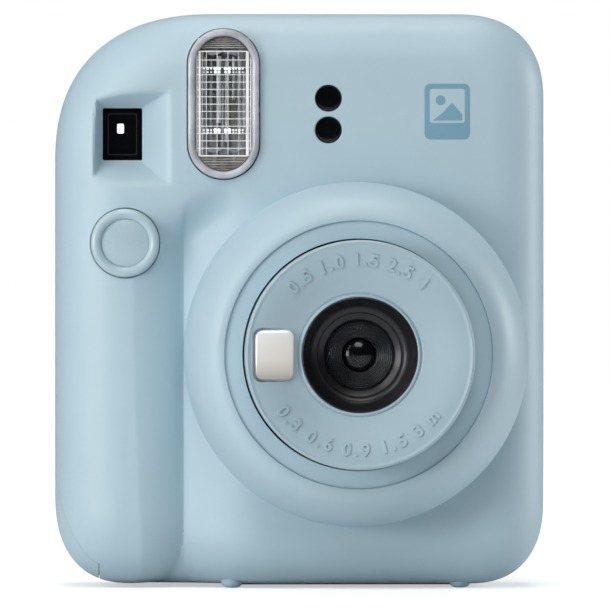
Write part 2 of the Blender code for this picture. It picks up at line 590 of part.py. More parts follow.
def build_back_door():
    radii = {"bottom_left": (3.0, 3.0), "top_left": (3.0, 3.0),
             "bottom_right": (11.4, 13.7), "top_right": (14.0, 14.2)}
    outline = rounded(DOOR_LEFT, DOOR_RIGHT, BOTTOM + DOOR_INSET, TOP - DOOR_INSET, radii)
    panel = plate(outline, (BACK_D, BACK_D + DOOR_THICK))
    pivot = at(HINGE_X, HINGE_D, 60)
    door = finish("back_door", panel, BODY_BLUE, 0.45, 0.0, pivot)
    knuckle = finish("add_knuckle", cylinder("z", (HINGE_X, HINGE_D), HINGE_R, HINGE_Z, 16))
    apply_boolean(door, knuckle, "UNION")
    cut(door,
        finish("cut_hinge_hole", cylinder("z", (HINGE_X, HINGE_D), 1.1, (HINGE_Z[0] - 9, HINGE_Z[1] + 9), 12)),
        finish("cut_film_window", plate(small_outline((LENS_X, 52.0), (9.6, 26.6), 2.5), (-1, 8))),
        finish("cut_door_latch", box((-21.3, -12.7), (-1, 8), (56.0, 70.0))),
        *hinge_corners("cut", 0.0, 0.0, (-1, 8)))
    finish("door_hinge_pin", cylinder("z", (HINGE_X, HINGE_D), 0.8, (HINGE_Z[0] - 6, HINGE_Z[1] + 6), 12),
           STEEL, 0.3, 1.0)
    finish("film_window", plate(small_outline((LENS_X, 52.0), (9.0, 26.0), 2.2), (2.3, 4.0)),
           (0.1, 0.1, 0.1), 0.05)
    for name, z in (("pressure_pad_lower", 26.0), ("pressure_pad_upper", 86.0)):
        finish(name, box((LENS_X - 10, LENS_X + 10), (4.5, 5.3), (z - 5, z + 5)), STEEL, 0.4, 1.0)
    latch = finish("door_latch", box((-20.7, -15.6), (1.4, 3.9), (56.3, 69.7)), BODY_BLUE, 0.45)
    tongue = finish("add_latch_tongue", box((-23.2, -11.6), (4.5 - GAP, 5.4), (55.0, 71.0)))
    neck = finish("add_latch_neck", box((-20.7, -15.6), (3.5, 5.0), (57.0, 69.0)))
    apply_boolean(latch, neck, "UNION")
    apply_boolean(latch, tongue, "UNION")


def build_screws():
    places = {"screw_upper_left": (-46.0, 78.0), "screw_lower_left": (-47.0, 40.0),
              "screw_upper_right": (-29.0, 114.0), "screw_lower_right": (-29.0, 6.5)}
    for name, (x, z) in places.items():
        cutter = cylinder("d", (x, z), 2.0, (-2, 6), 12)
        cut(bpy.data.objects["rear_cover"], finish("cut_" + name, cutter))
        shape = [(1.6, 2.6), (1.6, 3.6), (0.9, 3.6), (0.9, 9.0)]
        finish(name, turned("d", (x, z), shape, 12), STEEL, 0.3, 1.0)


def main():
    for obj in list(bpy.data.objects):
        bpy.data.objects.remove(obj, do_unlink=True)
    build_covers()
    build_rear_cover()
    build_bezel()
    build_lens()
    build_flash()
    build_finder()
    build_front_fittings()
    build_straps_and_feet()
    build_film_path()
    build_rollers()
    build_drive()
    build_electrics()
    build_back_door()
    build_screws()


main()
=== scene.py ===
"""Instant camera in pale blue plastic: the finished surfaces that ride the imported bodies.

Lengths are in millimetres: x to the right of the front, z up, and d forward from the eyepiece.
"""

import math

import bmesh
import bpy
import numpy as np
from mathutils import Matrix, Vector


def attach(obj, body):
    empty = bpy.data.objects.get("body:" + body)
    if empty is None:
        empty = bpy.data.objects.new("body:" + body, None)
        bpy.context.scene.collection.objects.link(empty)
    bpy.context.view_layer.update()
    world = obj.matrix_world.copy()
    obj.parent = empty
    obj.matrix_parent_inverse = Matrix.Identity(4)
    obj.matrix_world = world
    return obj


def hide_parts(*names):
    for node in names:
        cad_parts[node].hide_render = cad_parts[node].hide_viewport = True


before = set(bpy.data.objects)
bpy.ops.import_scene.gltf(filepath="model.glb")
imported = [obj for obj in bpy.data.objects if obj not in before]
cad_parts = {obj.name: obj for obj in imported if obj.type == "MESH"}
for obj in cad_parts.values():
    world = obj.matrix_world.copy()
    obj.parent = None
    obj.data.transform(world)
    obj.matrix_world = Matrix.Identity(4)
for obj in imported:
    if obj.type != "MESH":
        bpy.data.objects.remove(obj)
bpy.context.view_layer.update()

MM = 0.001
DEPTH = 73.6
GAP = 0.3

# Body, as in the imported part
LEFT, RIGHT, BOTTOM, TOP = -52.0, 52.0, 0.8, 122.0
BACK_D, SEAM_D, FRONT_D = 2.0, 10.0, 45.0
# Corner radii in x and z, anticlockwise from the bottom left
CORNERS = [(16.0, 19.0), (16.0, 18.0), (18.6, 18.5), (34.0, 32.0)]
POWER = 2.4
FACE_CROWN, FACE_MIDDLE, FACE_REACH = 0.7, (2.0, 62.0), (52.0, 61.0)
EDGE_ROUND, EDGE_EXTRA, EDGE_POWER = 11.5, 4.5, 2.25
GRIP_X, GRIP_ROUND = -39.2, 19.6
CREASE_X, CREASE_D, FLANK_SLOPE = -25.1, 38.7, 0.45
CREASE_TOP, CREASE_FADE, FLANK_BLEND = 82.5, 10.0, 2.2
LENS = (11.7, 49.7)
FLASH, FLASH_SIZE = (-16.3, 102.6), (15.1, 31.7)
FINDER, FINDER_SIZE, FINDER_FLOOR_D = (-37.65, 96.3), (8.4, 11.1), 38.5
FINDER_MOUTH = (-44.6, -27.5, 85.3, 105.5)
BUTTON = (-37.1, 73.2)
SENSOR_X, SENSOR_ZS = 5.9, (103.8, 97.1)
STRAP_D, STRAP_Z = (12.5, 18.5), (93.5, 99.7)
COUNTER_WINDOW = (-36.0, 26.6)


# ---- geometry kit

def at(x, d, z):
    return Vector((x, DEPTH / 2 - d, z)) * MM


def smooth(t):
    t = np.clip(t, 0.0, 1.0)
    return t * t * (3 - 2 * t)


def sweep(degrees, steps, start=0):
    """Angles in radians, stepping from nothing up to the given one."""
    return [math.radians(degrees * k / steps) for k in range(start, steps + 1)]


def linked(name, data):
    obj = bpy.data.objects.new(name, data)
    bpy.context.scene.collection.objects.link(obj)
    return obj


def evaluated(obj):
    """New mesh of the object, with its modifiers or its letters worked out."""
    depsgraph = bpy.context.evaluated_depsgraph_get()
    return bpy.data.meshes.new_from_object(obj.evaluated_get(depsgraph))


def solid(name, points, faces):
    """Linked object from (x, d, z) points in millimetres: a cutter, or a piece to be dressed."""
    x, d, z = np.asarray(points, dtype=float).T
    mesh = bpy.data.meshes.new(name)
    mesh.from_pydata((np.column_stack((x, DEPTH / 2 - d, z)) * MM).tolist(), [],
                     [list(map(int, f)) for f in faces])
    bm = bmesh.new()
    bm.from_mesh(mesh)
    bmesh.ops.remove_doubles(bm, verts=bm.verts, dist=1e-7)
    bmesh.ops.recalc_face_normals(bm, faces=bm.faces)
    bm.to_mesh(mesh)
    bm.free()
    return linked(name, mesh)


def dress(obj, material, body="root", replaces=(), angle=32):
    """Shade a piece, give it its material and fix it to its body."""
    mesh = obj.data
    mesh.materials.clear()
    mesh.materials.append(material)
    mesh.shade_smooth()
    mesh.set_sharp_from_angle(angle=math.radians(angle))
    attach(obj, body)
    if replaces:
        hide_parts(*replaces)
    return obj


def carve(obj, cutters, operation="DIFFERENCE"):
    """Boolean with a list of cutters, which are used up."""
    for cutter in cutters:
        modifier = obj.modifiers.new(cutter.name, "BOOLEAN")
        modifier.object = cutter
        modifier.operation = operation
        modifier.solver = "MANIFOLD"
    mesh = evaluated(obj)
    obj.modifiers.clear()
    old = obj.data
    obj.data = mesh
    bpy.data.meshes.remove(old)
    for cutter in cutters:
        bpy.data.objects.remove(cutter, do_unlink=True)
    return obj


def joined(name, objects):
    """One object from several."""
    bm = bmesh.new()
    for obj in objects:
        bm.from_mesh(obj.data)
    mesh = bpy.data.meshes.new(name)
    bm.to_mesh(mesh)
    bm.free()
    for obj in objects:
        bpy.data.objects.remove(obj, do_unlink=True)
    return linked(name, mesh)


def fillet(corners, steps):
    """Polyline through (u, v, radius) corners, each right-angled one rounded by its radius."""
    points = []
    for i, (u, v, radius) in enumerate(corners):
        if radius == 0:
            points.append((u, v))
            continue
        here = np.array((u, v))
        before, after = (np.array(corners[k % len(corners)][:2]) - here for k in (i - 1, i + 1))
        a, b = before / np.linalg.norm(before), after / np.linalg.norm(after)
        centre = here + radius * (a + b)
        points += [tuple(centre - radius * (b * math.cos(t) + a * math.sin(t))) for t in sweep(90, steps)]
    return points


def along(axis, centre, s, u, v):
    """Point at distance s along an axis and at (u, v) across it."""
    point = [centre[0] + u, centre[1] + v]
    point.insert("xdz".index(axis), s)
    return tuple(point)


def grid_faces(rows, count, wrap_rows=False):
    """Four-sided faces between closed rows of points."""
    faces = []
    for row in range(rows if wrap_rows else rows - 1):
        a, b = row * count, ((row + 1) % rows) * count
        faces += [(a + i, a + (i + 1) % count, b + (i + 1) % count, b + i) for i in range(count)]
    return faces


def loft(name, rings):
    """Closed solid through rings of (x, d, z) points, capped at both ends."""
    count = len(rings[0])
    faces = grid_faces(len(rings), count)
    faces += [tuple(range(count)), tuple(range((len(rings) - 1) * count, len(rings) * count))]
    return solid(name, [p for ring in rings for p in ring], faces)


def hoop(name, rings):
    """Closed solid through rings of points, with the last ring joined to the first."""
    points = [p for ring in rings for p in ring]
    return solid(name, points, grid_faces(len(rings), len(rings[0]), wrap_rows=True))


def circle(axis, centre, radius, s, steps):
    turns = [2 * math.pi * i / steps for i in range(steps)]
    return [along(axis, centre, s, radius * math.cos(t), radius * math.sin(t)) for t in turns]


def turned(name, axis, centre, profile, steps=96):
    """Solid of revolution: an open profile of (radius, s) points, capped at both ends."""
    return loft(name, [circle(axis, centre, max(r, 0.01), s, steps) for r, s in profile])


def lathe(name, axis, centre, profile, steps=144):
    """Ring-shaped solid: a closed profile of (radius, s) points turned about an axis."""
    return hoop(name, [circle(axis, centre, r, s, steps) for r, s in profile])


def block(name, x, d, z):
    """Box between two values of each of x, d and z."""
    return loft(name, [[(x[0], v, z[0]), (x[1], v, z[0]), (x[1], v, z[1]), (x[0], v, z[1])] for v in d])


def rounded(left, right, bottom, top, radii, power=POWER, steps=16):
    """Rounded rectangle in x and z, anticlockwise from the bottom left corner."""
    points = []
    for index, (rx, rz) in enumerate(radii):
        cx = left + rx if index in (0, 3) else right - rx
        cz = bottom + rz if index < 2 else top - rz
        for step in range(steps + 1):
            t = math.radians(180 + 90 * index + 90 * step / steps)
            c, s = math.cos(t), math.sin(t)
            points.append((cx + rx * math.copysign(abs(c) ** (2 / power), c),
                           cz + rz * math.copysign(abs(s) ** (2 / power), s)))
    return points


def pad(centre, size, radius, steps=8):
    """Small rounded rectangle about a centre."""
    radius = min(radius, size[0] / 2 - 0.001, size[1] / 2 - 0.001)
    return rounded(centre[0] - size[0] / 2, centre[0] + size[0] / 2, centre[1] - size[1] / 2,
                   centre[1] + size[1] / 2, [(radius, radius)] * 4, 2.0, steps)


def level(outline, d):
    """Outline in x and z, laid at one d."""
    return [(x, d, z) for x, z in outline]


def plate(name, outline, span):
    """Outline in x and z pushed through a span of d."""
    return loft(name, [level(outline, d) for d in span])


def finer(outline, parts=12):
    """The outline with each of its four long sides split into short ones."""
    points = []
    for (x0, z0), (x1, z1) in zip(outline, outline[1:] + outline[:1]):
        split = parts if math.hypot(x1 - x0, z1 - z0) > 2.0 else 1
        points += [(x0 + (x1 - x0) * k / split, z0 + (z1 - z0) * k / split) for k in range(split)]
    return points


def edge_rings(centre, size, radius, edge, steps):
    """Outlines across a plate's rounded edge, each with its drop from the plate's face."""
    rings = []
    for t in sweep(90, 5):
        inset = edge * (1 - math.cos(t))
        small = (size[0] - 2 * inset, size[1] - 2 * inset)
        rings.append((pad(centre, small, max(radius - inset, 0.05), steps), edge * (1 - math.sin(t))))
    return rings


def soft_plate(name, centre, size, radius, back_d, front_d, edge, crown, steps):
    """Rounded plate whose front edge is rounded over and whose face bulges a little."""
    def lift(x, z):
        return crown * (((x - centre[0]) / size[0] * 2) ** 2 + ((z - centre[1]) / size[1] * 2) ** 2) / 2

    rings = [level(pad(centre, size, radius, steps), back_d)]
    rings += [[(x, front_d - lift(x, z) - drop, z) for x, z in outline]
              for outline, drop in edge_rings(centre, size, radius, edge, steps)]
    for k in range(1, 13):
        share = 1 - k / 12.5
        small = [(length - 2 * edge) * share for length in size]
        rings.append([(x, front_d - lift(x, z), z)
                      for x, z in pad(centre, small, max((radius - edge) * share, 0.02), steps)])
    return loft(name, rings)


def back_plate(name, centre, size, radius, back_d, front_d, edge=0.4, steps=10):
    """Rounded plate whose rear edge is rounded over."""
    rings = [level(outline, back_d + drop)
             for outline, drop in reversed(edge_rings(centre, size, radius, edge, steps))]
    return loft(name, rings + [level(pad(centre, size, radius, steps), front_d)])


def ends(axis, trim):
    """Indices of the near and far ends of a grid's edges along an axis, with the other axes trimmed."""
    near, far = [trim] * 3, [trim] * 3
    near[axis], far[axis] = slice(None, -1), slice(1, None)
    return tuple(near), tuple(far)


def surface_net(name, field, low, high, step, snaps=3):
    """Mesh of the zero surface of a field, with its points snapped onto the surface."""
    grid = np.meshgrid(*[np.arange(a, b + step, step) for a, b in zip(low, high)], indexing="ij")
    value = field(*grid)
    inside = value < 0
    shape = tuple(n - 1 for n in value.shape)
    total, hits = np.zeros(shape + (3,)), np.zeros(shape)
    for axis in range(3):
        near, far = ends(axis, slice(None))
        a, b = value[near], value[far]
        crossing = inside[near] != inside[far]
        place = [g[near].copy() for g in grid]
        place[axis] += np.where(crossing, a / np.where(crossing, a - b, 1.0), 0.0) * step
        for shift in np.ndindex(2, 2):
            cut = tuple(slice(k, k + n) for k, n in zip(np.insert(shift, axis, 0), shape))
            mask = crossing[cut]
            hits += mask
            for k in range(3):
                total[..., k] += np.where(mask, place[k][cut], 0.0)
    used = hits > 0
    index = np.full(shape, -1, dtype=np.int64)
    index[used] = np.arange(int(used.sum()))
    points = total[used] / hits[used][:, None]
    faces = []
    for axis in range(3):
        near, far = ends(axis, slice(1, -1))
        flip = inside[near] != inside[far]
        cells = np.argwhere(flip)
        quad = np.stack([index[tuple((cells + np.insert(corner, axis, 0)).T)]
                         for corner in ((0, 0), (1, 0), (1, 1), (0, 1))], axis=1)
        backward = inside[near][flip] == (axis == 1)
        quad[backward] = quad[backward][:, ::-1]
        faces.append(quad)
    faces = np.concatenate(faces)
    nudge = 0.02
    for _ in range(snaps):
        x, d, z = points.T
        f = field(x, d, z)
        slope = np.stack([field(x + nudge, d, z) - field(x - nudge, d, z),
                          field(x, d + nudge, z) - field(x, d - nudge, z),
                          field(x, d, z + nudge) - field(x, d, z - nudge)], axis=1) / (2 * nudge)
        length = np.maximum((slope ** 2).sum(axis=1), 0.05)
        points = points - np.clip(f / length, -0.4 * step, 0.4 * step)[:, None] * slope
    return solid(name, points, faces)


# ---- body surface

def outline_distance(x, z, inset=0.0):
    """How far a point is outside the body's outline, seen from the front."""
    away = np.maximum(np.maximum(LEFT + inset - x, x - RIGHT + inset),
                      np.maximum(BOTTOM + inset - z, z - TOP + inset))
    for index, (rx, rz) in enumerate(CORNERS):
        rx, rz = rx - inset, rz - inset
        u = (LEFT + inset + rx - x if index in (0, 3) else x - RIGHT + inset + rx) / rx
        v = (BOTTOM + inset + rz - z if index < 2 else z - TOP + inset + rz) / rz
        here = (u > 0) & (v > 0)
        u, v = np.maximum(u, 1e-6), np.maximum(v, 1e-6)
        rho = (u ** POWER + v ** POWER) ** (1 / POWER)
        slope = rho ** (1 - POWER) * np.sqrt((u ** (POWER - 1) / rx) ** 2 + (v ** (POWER - 1) / rz) ** 2)
        away = np.where(here, (rho - 1) / slope, away)
    return away


def face_depth_at(x, z):
    """Depth of the slightly crowned face."""
    across = ((x - FACE_MIDDLE[0]) / FACE_REACH[0]) ** 2
    return FRONT_D - FACE_CROWN * (across + ((z - FACE_MIDDLE[1]) / FACE_REACH[1]) ** 2)


def rounded_edge(a, b, edge, power):
    """Distance outside the edge between two faces; power 2 rounds it by a circle, and more is squarer."""
    a, b = a + edge, b + edge
    length = (np.maximum(a, 1e-9) ** power + np.maximum(b, 1e-9) ** power) ** (1 / power)
    return length + np.minimum(np.maximum(a, b), 0) - edge


def soft_max(a, b, blend):
    """The larger of two, rounded where they are closer than the blend."""
    return np.maximum(a, b) + np.maximum(blend - np.abs(a - b), 0) ** 2 / (4 * blend)


def front_distance(x, d, z):
    """How far a point is in front of the face, which has a valley beside the grip column."""
    flat = d - face_depth_at(x, z)
    column = np.where(x > GRIP_X, np.hypot(x - GRIP_X, d - FRONT_D + GRIP_ROUND) - GRIP_ROUND, flat)
    flank = (d - CREASE_D - FLANK_SLOPE * (x - CREASE_X)) / math.hypot(1, FLANK_SLOPE)
    valley = np.minimum(np.minimum(np.maximum(column, flat), soft_max(flank, flat, FLANK_BLEND)),
                        d - CREASE_D)
    top = CREASE_TOP + np.clip(0.6 * (x - CREASE_X), 0, 6)
    deep = smooth((top - z) / CREASE_FADE)
    return flat + (valley - flat) * deep


def funnel_distance(x, d, z):
    """Distance outside the pyramid of the finder's recess."""
    left, right, bottom, top = FINDER_MOUTH
    rise = FRONT_D - FINDER_FLOOR_D
    sides = []
    for value, mouth, floor in ((-x, -left, -(FINDER[0] - FINDER_SIZE[0] / 2)),
                                (x, right, FINDER[0] + FINDER_SIZE[0] / 2),
                                (-z, -bottom, -(FINDER[1] - FINDER_SIZE[1] / 2)),
                                (z, top, FINDER[1] + FINDER_SIZE[1] / 2)):
        lean = (mouth - floor) / rise
        sides.append((value - floor - lean * (d - FINDER_FLOOR_D)) / math.sqrt(1 + lean * lean))
    return np.maximum(np.maximum.reduce(sides), FINDER_FLOOR_D - d)


def body_distance(x, d, z):
    """Distance outside the front cover, whose edge is rounder towards the grip."""
    edge = EDGE_ROUND + EDGE_EXTRA * smooth((-14.0 - x) / 30.0)
    body = rounded_edge(outline_distance(x, z), front_distance(x, d, z), edge, EDGE_POWER)
    recess = -funnel_distance(x, d, z)
    return np.maximum(soft_max(body, recess, 0.9), 6.0 - d)


# ---- materials

def srgb(r, g, b):
    """Linear colour from 8-bit screen values."""
    linear = [v / 255 / 12.92 if v <= 10 else ((v / 255 + 0.055) / 1.055) ** 2.4 for v in (r, g, b)]
    return (*linear, 1.0)


def empty_material(name):
    """New material, with its node tree and its shader."""
    material = bpy.data.materials.new(name)
    material.use_nodes = True
    return material, material.node_tree, material.node_tree.nodes["Principled BSDF"]


def add(tree, kind, **inputs):
    """New shader node with some of its inputs set: From_Min stands for the input From Min."""
    node = tree.nodes.new("ShaderNode" + kind)
    for key, value in inputs.items():
        node.inputs[key.replace("_", " ")].default_value = value
    return node


def wire(tree, source, output, target, name):
    tree.links.new(source.outputs[output], target.inputs[name])


def noise(tree, scale, detail=2.0, stretch=None):
    """Noise in the object's own metres, so its scale is per metre."""
    coords = add(tree, "TexCoord")
    texture = add(tree, "TexNoise", Scale=scale, Detail=detail)
    if stretch:
        mapping = add(tree, "Mapping", Scale=stretch)
        wire(tree, coords, "Object", mapping, "Vector")
        wire(tree, mapping, "Vector", texture, "Vector")
    else:
        wire(tree, coords, "Object", texture, "Vector")
    return texture


def ramp(tree, source, output, stops):
    made = add(tree, "ValToRGB")
    band = made.color_ramp
    while len(band.elements) < len(stops):
        band.elements.new(0.5)
    for element, (place, colour) in zip(band.elements, stops):
        element.position, element.color = place, colour
    wire(tree, source, output, made, "Fac")
    return made


def surface(name, light, dark, rough=(0.4, 0.5), grain=2500.0, bump=0.1, depth=0.00004, metal=0.0,
            blotch=60.0, stretch=None, **constants):
    """Material whose colour, roughness and relief all come from noise."""
    material, tree, shader = empty_material(name)
    shader.inputs["Metallic"].default_value = metal
    for key, value in constants.items():
        shader.inputs[key.replace("_", " ")].default_value = value
    broad = noise(tree, blotch, 3.0, stretch)
    colour = ramp(tree, broad, "Fac", [(0.35, dark), (0.65, light)])
    wire(tree, colour, "Color", shader, "Base Color")
    fine = noise(tree, grain, 2.0, stretch)
    spread = add(tree, "MapRange", To_Min=rough[0], To_Max=rough[1])
    wire(tree, fine, "Fac", spread, "Value")
    wire(tree, spread, "Result", shader, "Roughness")
    relief = add(tree, "Bump", Strength=bump, Distance=depth)
    wire(tree, fine, "Fac", relief, "Height")
    wire(tree, relief, "Normal", shader, "Normal")
    return material


blue = surface("blue_plastic", srgb(178, 203, 214), srgb(175, 200, 211), (0.46, 0.54), 3200.0, 0.14,
               Specular_IOR_Level=0.8)
blue_smooth = surface("blue_satin", srgb(176, 200, 211), srgb(173, 197, 208), (0.38, 0.46), 3200.0, 0.05,
                      Specular_IOR_Level=0.7)
# A darker copy of the body blue: painted shade on the dished disc round the lens.
blue_disc_painted_shade = surface("blue_disc_painted_shade", srgb(165, 189, 200), srgb(162, 186, 197), (0.4, 0.48), 3200.0, 0.05,
                    Specular_IOR_Level=0.6)
blue_gloss = surface("blue_gloss", srgb(180, 203, 213), srgb(177, 200, 210), (0.22, 0.3), 3200.0, 0.03,
                     Specular_IOR_Level=0.8)
black = surface("black_plastic", srgb(20, 21, 23), srgb(15, 16, 18), (0.4, 0.55), 3000.0, 0.15)
inner_black = surface("black_matt", srgb(16, 16, 17), srgb(11, 11, 12), (0.7, 0.85), 2500.0, 0.2)
gloss = surface("black_window", srgb(10, 11, 13), srgb(6, 7, 8), (0.04, 0.08), 900.0, 0.02)
steel = surface("steel", srgb(190, 190, 188), srgb(165, 165, 163), (0.25, 0.4), 1500.0, 0.1, metal=1.0,
                stretch=(1.0, 1.0, 0.1))
white_plastic = surface("white_plastic", srgb(226, 226, 218), srgb(216, 216, 208), (0.4, 0.5), 2000.0, 0.1)
board_green = surface("board", srgb(28, 92, 52), srgb(20, 74, 40), (0.35, 0.5), 1200.0, 0.1, blotch=300.0)
sleeve = surface("sleeve", srgb(26, 27, 34), srgb(18, 19, 25), (0.15, 0.25), 1500.0, 0.05)
jacket = surface("cell_jacket", srgb(70, 72, 78), srgb(54, 56, 62), (0.25, 0.35), 1500.0, 0.05, metal=0.6)
foam = surface("foam", srgb(22, 22, 23), srgb(12, 12, 13), (0.85, 0.95), 1400.0, 0.6, 0.0002)
ink = surface("printed_blue", srgb(122, 165, 184), srgb(117, 160, 179), (0.42, 0.5), 3200.0, 0.1)


# ---- front cover

WALL, SEAM_GAP = 2.0, 0.12
ACROSS, UPWARDS = (-60, 60), (-5, 130)
# Battery door: its front edge runs forward towards the foot
CELL_EDGE_D, CELL_EDGE_RUN, CELL_TOP, CELL_X, CELL_ROUND = 31.5, 6.8, 61.4, -42.7, 2.0


def flared(name, centre, radius, back_d, face_d, flare=0.35, steps=72):
    """Round cutter that widens where it leaves the face, so that the hole's rim is rounded."""
    profile = [(radius, back_d), (radius, face_d - flare)]
    profile += [(radius + flare * (1 - math.cos(t)), face_d - flare + flare * math.sin(t))
                for t in sweep(90, 4, 1)]
    profile.append((radius + flare, face_d + 12))
    return turned(name, "d", centre, profile, steps)


def battery_region(name, back_d, grow):
    """Space of the battery door: the side of the grip and the corner below it."""
    foot = -6.0
    outline = [(back_d, foot)]
    for z in np.linspace(foot, 59.0, 60):
        run = CELL_EDGE_RUN * float(smooth((30.0 - z) / 22.0))
        outline.append((CELL_EDGE_D + run + grow, z))
    outline += [(CELL_EDGE_D - CELL_ROUND + grow + CELL_ROUND * math.cos(t),
                 CELL_TOP - CELL_ROUND + grow + CELL_ROUND * math.sin(t)) for t in sweep(90, 6, 1)]
    outline.append((back_d, CELL_TOP + grow))
    return loft(name, [[(x, d, z) for d, z in outline] for x in (LEFT - 8, CELL_X + grow)])


def strap_holes(prefix):
    """Cutters where the strap passes its lugs, through the side of both covers."""
    return [block("%s_%d" % (prefix, i), x, STRAP_D, STRAP_Z)
            for i, x in enumerate(((LEFT - 4, LEFT + 6), (RIGHT - 6, RIGHT + 4)))]


def build_front():
    shell = surface_net("shell", body_distance, (-54.2, 4.8, -1.4), (54.2, 46.9, 124.2), 0.62)
    hollow = surface_net("hollow", lambda x, d, z: body_distance(x, d, z) + WALL,
                         (-54, 2, -1), (54, 46, 124), 1.6, 2)
    carve(shell, [hollow, block("seam", ACROSS, (0, SEAM_D + SEAM_GAP), UPWARDS)])

    door = linked("battery_cover", shell.data.copy())
    carve(door, [battery_region("keep", SEAM_D + GAP, 0.0)], "INTERSECT")
    carve(door, [block("latch_gap", (LEFT - 4, LEFT + 5), (20.7, 29.3), (50.7, 59.45))])

    flash_hole = pad(FLASH, (FLASH_SIZE[0] + 0.5, FLASH_SIZE[1] + 0.5), 7.8, 24)
    face_hole, slot = (30, 60), (LENS[0] - 29, LENS[0] + 29)
    carve(shell, [
        turned("hole_lens", "d", LENS, [(BEZEL_R - 0.2, d) for d in face_hole], 144),
        plate("hole_flash", flash_hole, face_hole),
        plate("hole_window", pad(FINDER, FINDER_SIZE, 0.4), (20, FINDER_FLOOR_D + 1)),
        flared("hole_button", BUTTON, 7.45, 38, 44.75),
        *[flared("hole_sensor", (SENSOR_X, z), 2.85, 38, 44.7, 0.25, 48) for z in SENSOR_ZS],
        block("hole_slot", slot, (14.5, 19.5), (TOP - 8, TOP + 4)),
        *strap_holes("hole_strap"),
        battery_region("hole_battery", SEAM_D - 1, 0.16),
    ])
    dress(shell, blue, "root", ["front_cover"])
    dress(door, blue, "battery_door", ["battery_door"])


# ---- lens

BEZEL_R, BEZEL_FOOT_D, BEZEL_SHOULDER_D = 36.4, 34.2, 45.2
BEZEL_SWELL, BEZEL_RISE = 7.8, 18.4
RIM_R, RIM_D = 28.0, 63.6
RING_R, RING_BORE, RING_D = 27.96, 24.27, 62.95
FACE_D = 73.6
DISC_R, DISC_EDGE, WELL_R = 23.9, 0.55, 13.0
MIRROR, MIRROR_SIZE = (LENS[0] - 17.8, LENS[1]), (8.1, 10.5)


def face_depth(r):
    """The disc round the lens is a shallow dish."""
    return FACE_D - 0.25 - 2.1 * float(smooth((23.0 - r) / 12.0)) - 0.03 * (23.0 - r)


def dome(radius, height, base, steps, start=0):
    """Profile of a cap that rises from its edge to its middle."""
    return [(radius * math.cos(t), base + height * math.sin(t)) for t in sweep(90, steps, start)]


def build_bezel():
    """The round swelling, from its foot inside the cover to the rim round the ring."""
    inner = BEZEL_R - 2.6
    profile = [(inner, BEZEL_FOOT_D), (BEZEL_R, BEZEL_FOOT_D), (BEZEL_R, BEZEL_SHOULDER_D)]
    profile += [(BEZEL_R - BEZEL_SWELL * (1 - math.cos(t) ** 1.08),
                 BEZEL_SHOULDER_D + BEZEL_RISE * math.sin(t) ** 0.96) for t in sweep(90, 24, 1)]
    profile += fillet([(RIM_R + 0.5, RIM_D, 0), (RIM_R, RIM_D, 0.245), (RIM_R, 56.0, 0)], 4)[1:]
    profile += [(32.4, 54.0), (inner, 46.0)]
    dress(lathe("bezel", "d", LENS, profile, 192), blue, "root", ["lens_bezel"], 40)


def build_ring():
    face_back, sleeve_back, sleeve_r = 57.0, 40.0, 25.9
    profile = fillet([(RING_R, face_back, 0), (RING_R, RING_D, 0.04), (RING_BORE, RING_D, 0.1),
                      (RING_BORE, sleeve_back, 0), (sleeve_r, sleeve_back, 0), (sleeve_r, face_back, 0)], 5)
    dress(lathe("zoom_ring", "d", LENS, profile, 192), blue, "mode_ring", ["mode_ring"], 40)


def build_barrel():
    outer, inner, back, front = DISC_R, DISC_R - 1.7, 46.5, FACE_D - 2.3
    profile = [(outer, back), (outer, front), (inner, front), (inner, back)]
    dress(lathe("barrel_tube", "d", LENS, profile, 192), blue_smooth, "lens_barrel",
          ["lens_barrel"])


def build_disc():
    """Blue disc with a rounded edge, a shallow dish, a lip round the lens and a pocket for the mirror."""
    edge_back, well_back, hollow_r = FACE_D - 2.0, FACE_D - 5.0, 21.4
    profile = [(DISC_R, edge_back)]
    profile += [(DISC_R - DISC_EDGE * (1 - math.cos(t)), FACE_D - DISC_EDGE + DISC_EDGE * math.sin(t))
                for t in sweep(90, 8)]
    profile += [(r, face_depth(r)) for r in np.linspace(DISC_R - 1.0, WELL_R + 0.1, 34)]
    lip = face_depth(WELL_R)
    profile += [(WELL_R - inwards, lip + rise)
                for inwards, rise in ((0.05, -0.12), (0.15, -0.16), (0.25, -0.05), (0.35, 0.18), (0.5, 0.3),
                                      (0.7, 0.32), (0.85, 0.22), (0.92, 0.0))]
    profile += [(WELL_R - 0.92, well_back), (hollow_r, well_back), (hollow_r, edge_back)]
    disc = lathe("lens_disc", "d", LENS, profile, 240)
    pocket = [level(pad(MIRROR, (8.75 + grow, 11.2 + grow), 1.75 + grow / 2, 10), FACE_D + forward)
              for forward, grow in ((-1.75, 0.0), (-0.62, 0.0), (-0.42, 0.12), (-0.3, 0.45), (2.0, 0.5))]
    carve(disc, [loft("pocket", pocket)])
    dress(disc, blue_disc_painted_shade, "lens_barrel", ["lens_face"], 35)


def build_mirror():
    """The mirror, rounded at its edge and bulging a little, so that it takes a soft shine."""
    outline = finer(pad(MIRROR, MIRROR_SIZE, 1.5, 10))
    x0, z0 = MIRROR
    count, bulge = 25, 0.018
    rings = [level(outline, FACE_D - 1.74)]
    for k in range(1, count):
        share = 1 - k / count
        edge = 0.3 * max(0.0, 1 - k / 3)
        rings.append([(x0 + (x - x0) * share,
                       FACE_D - 0.45 - edge * edge * 2
                       - bulge * ((x - x0) ** 2 + 0.6 * (z - z0) ** 2) * share ** 2,
                       z0 + (z - z0) * share) for x, z in outline])
    # Its colour is a painted reflection, from its material.
    dress(loft("mirror_plate", rings), mirror_painted_reflection, "lens_barrel", ["selfie_mirror"], 40)


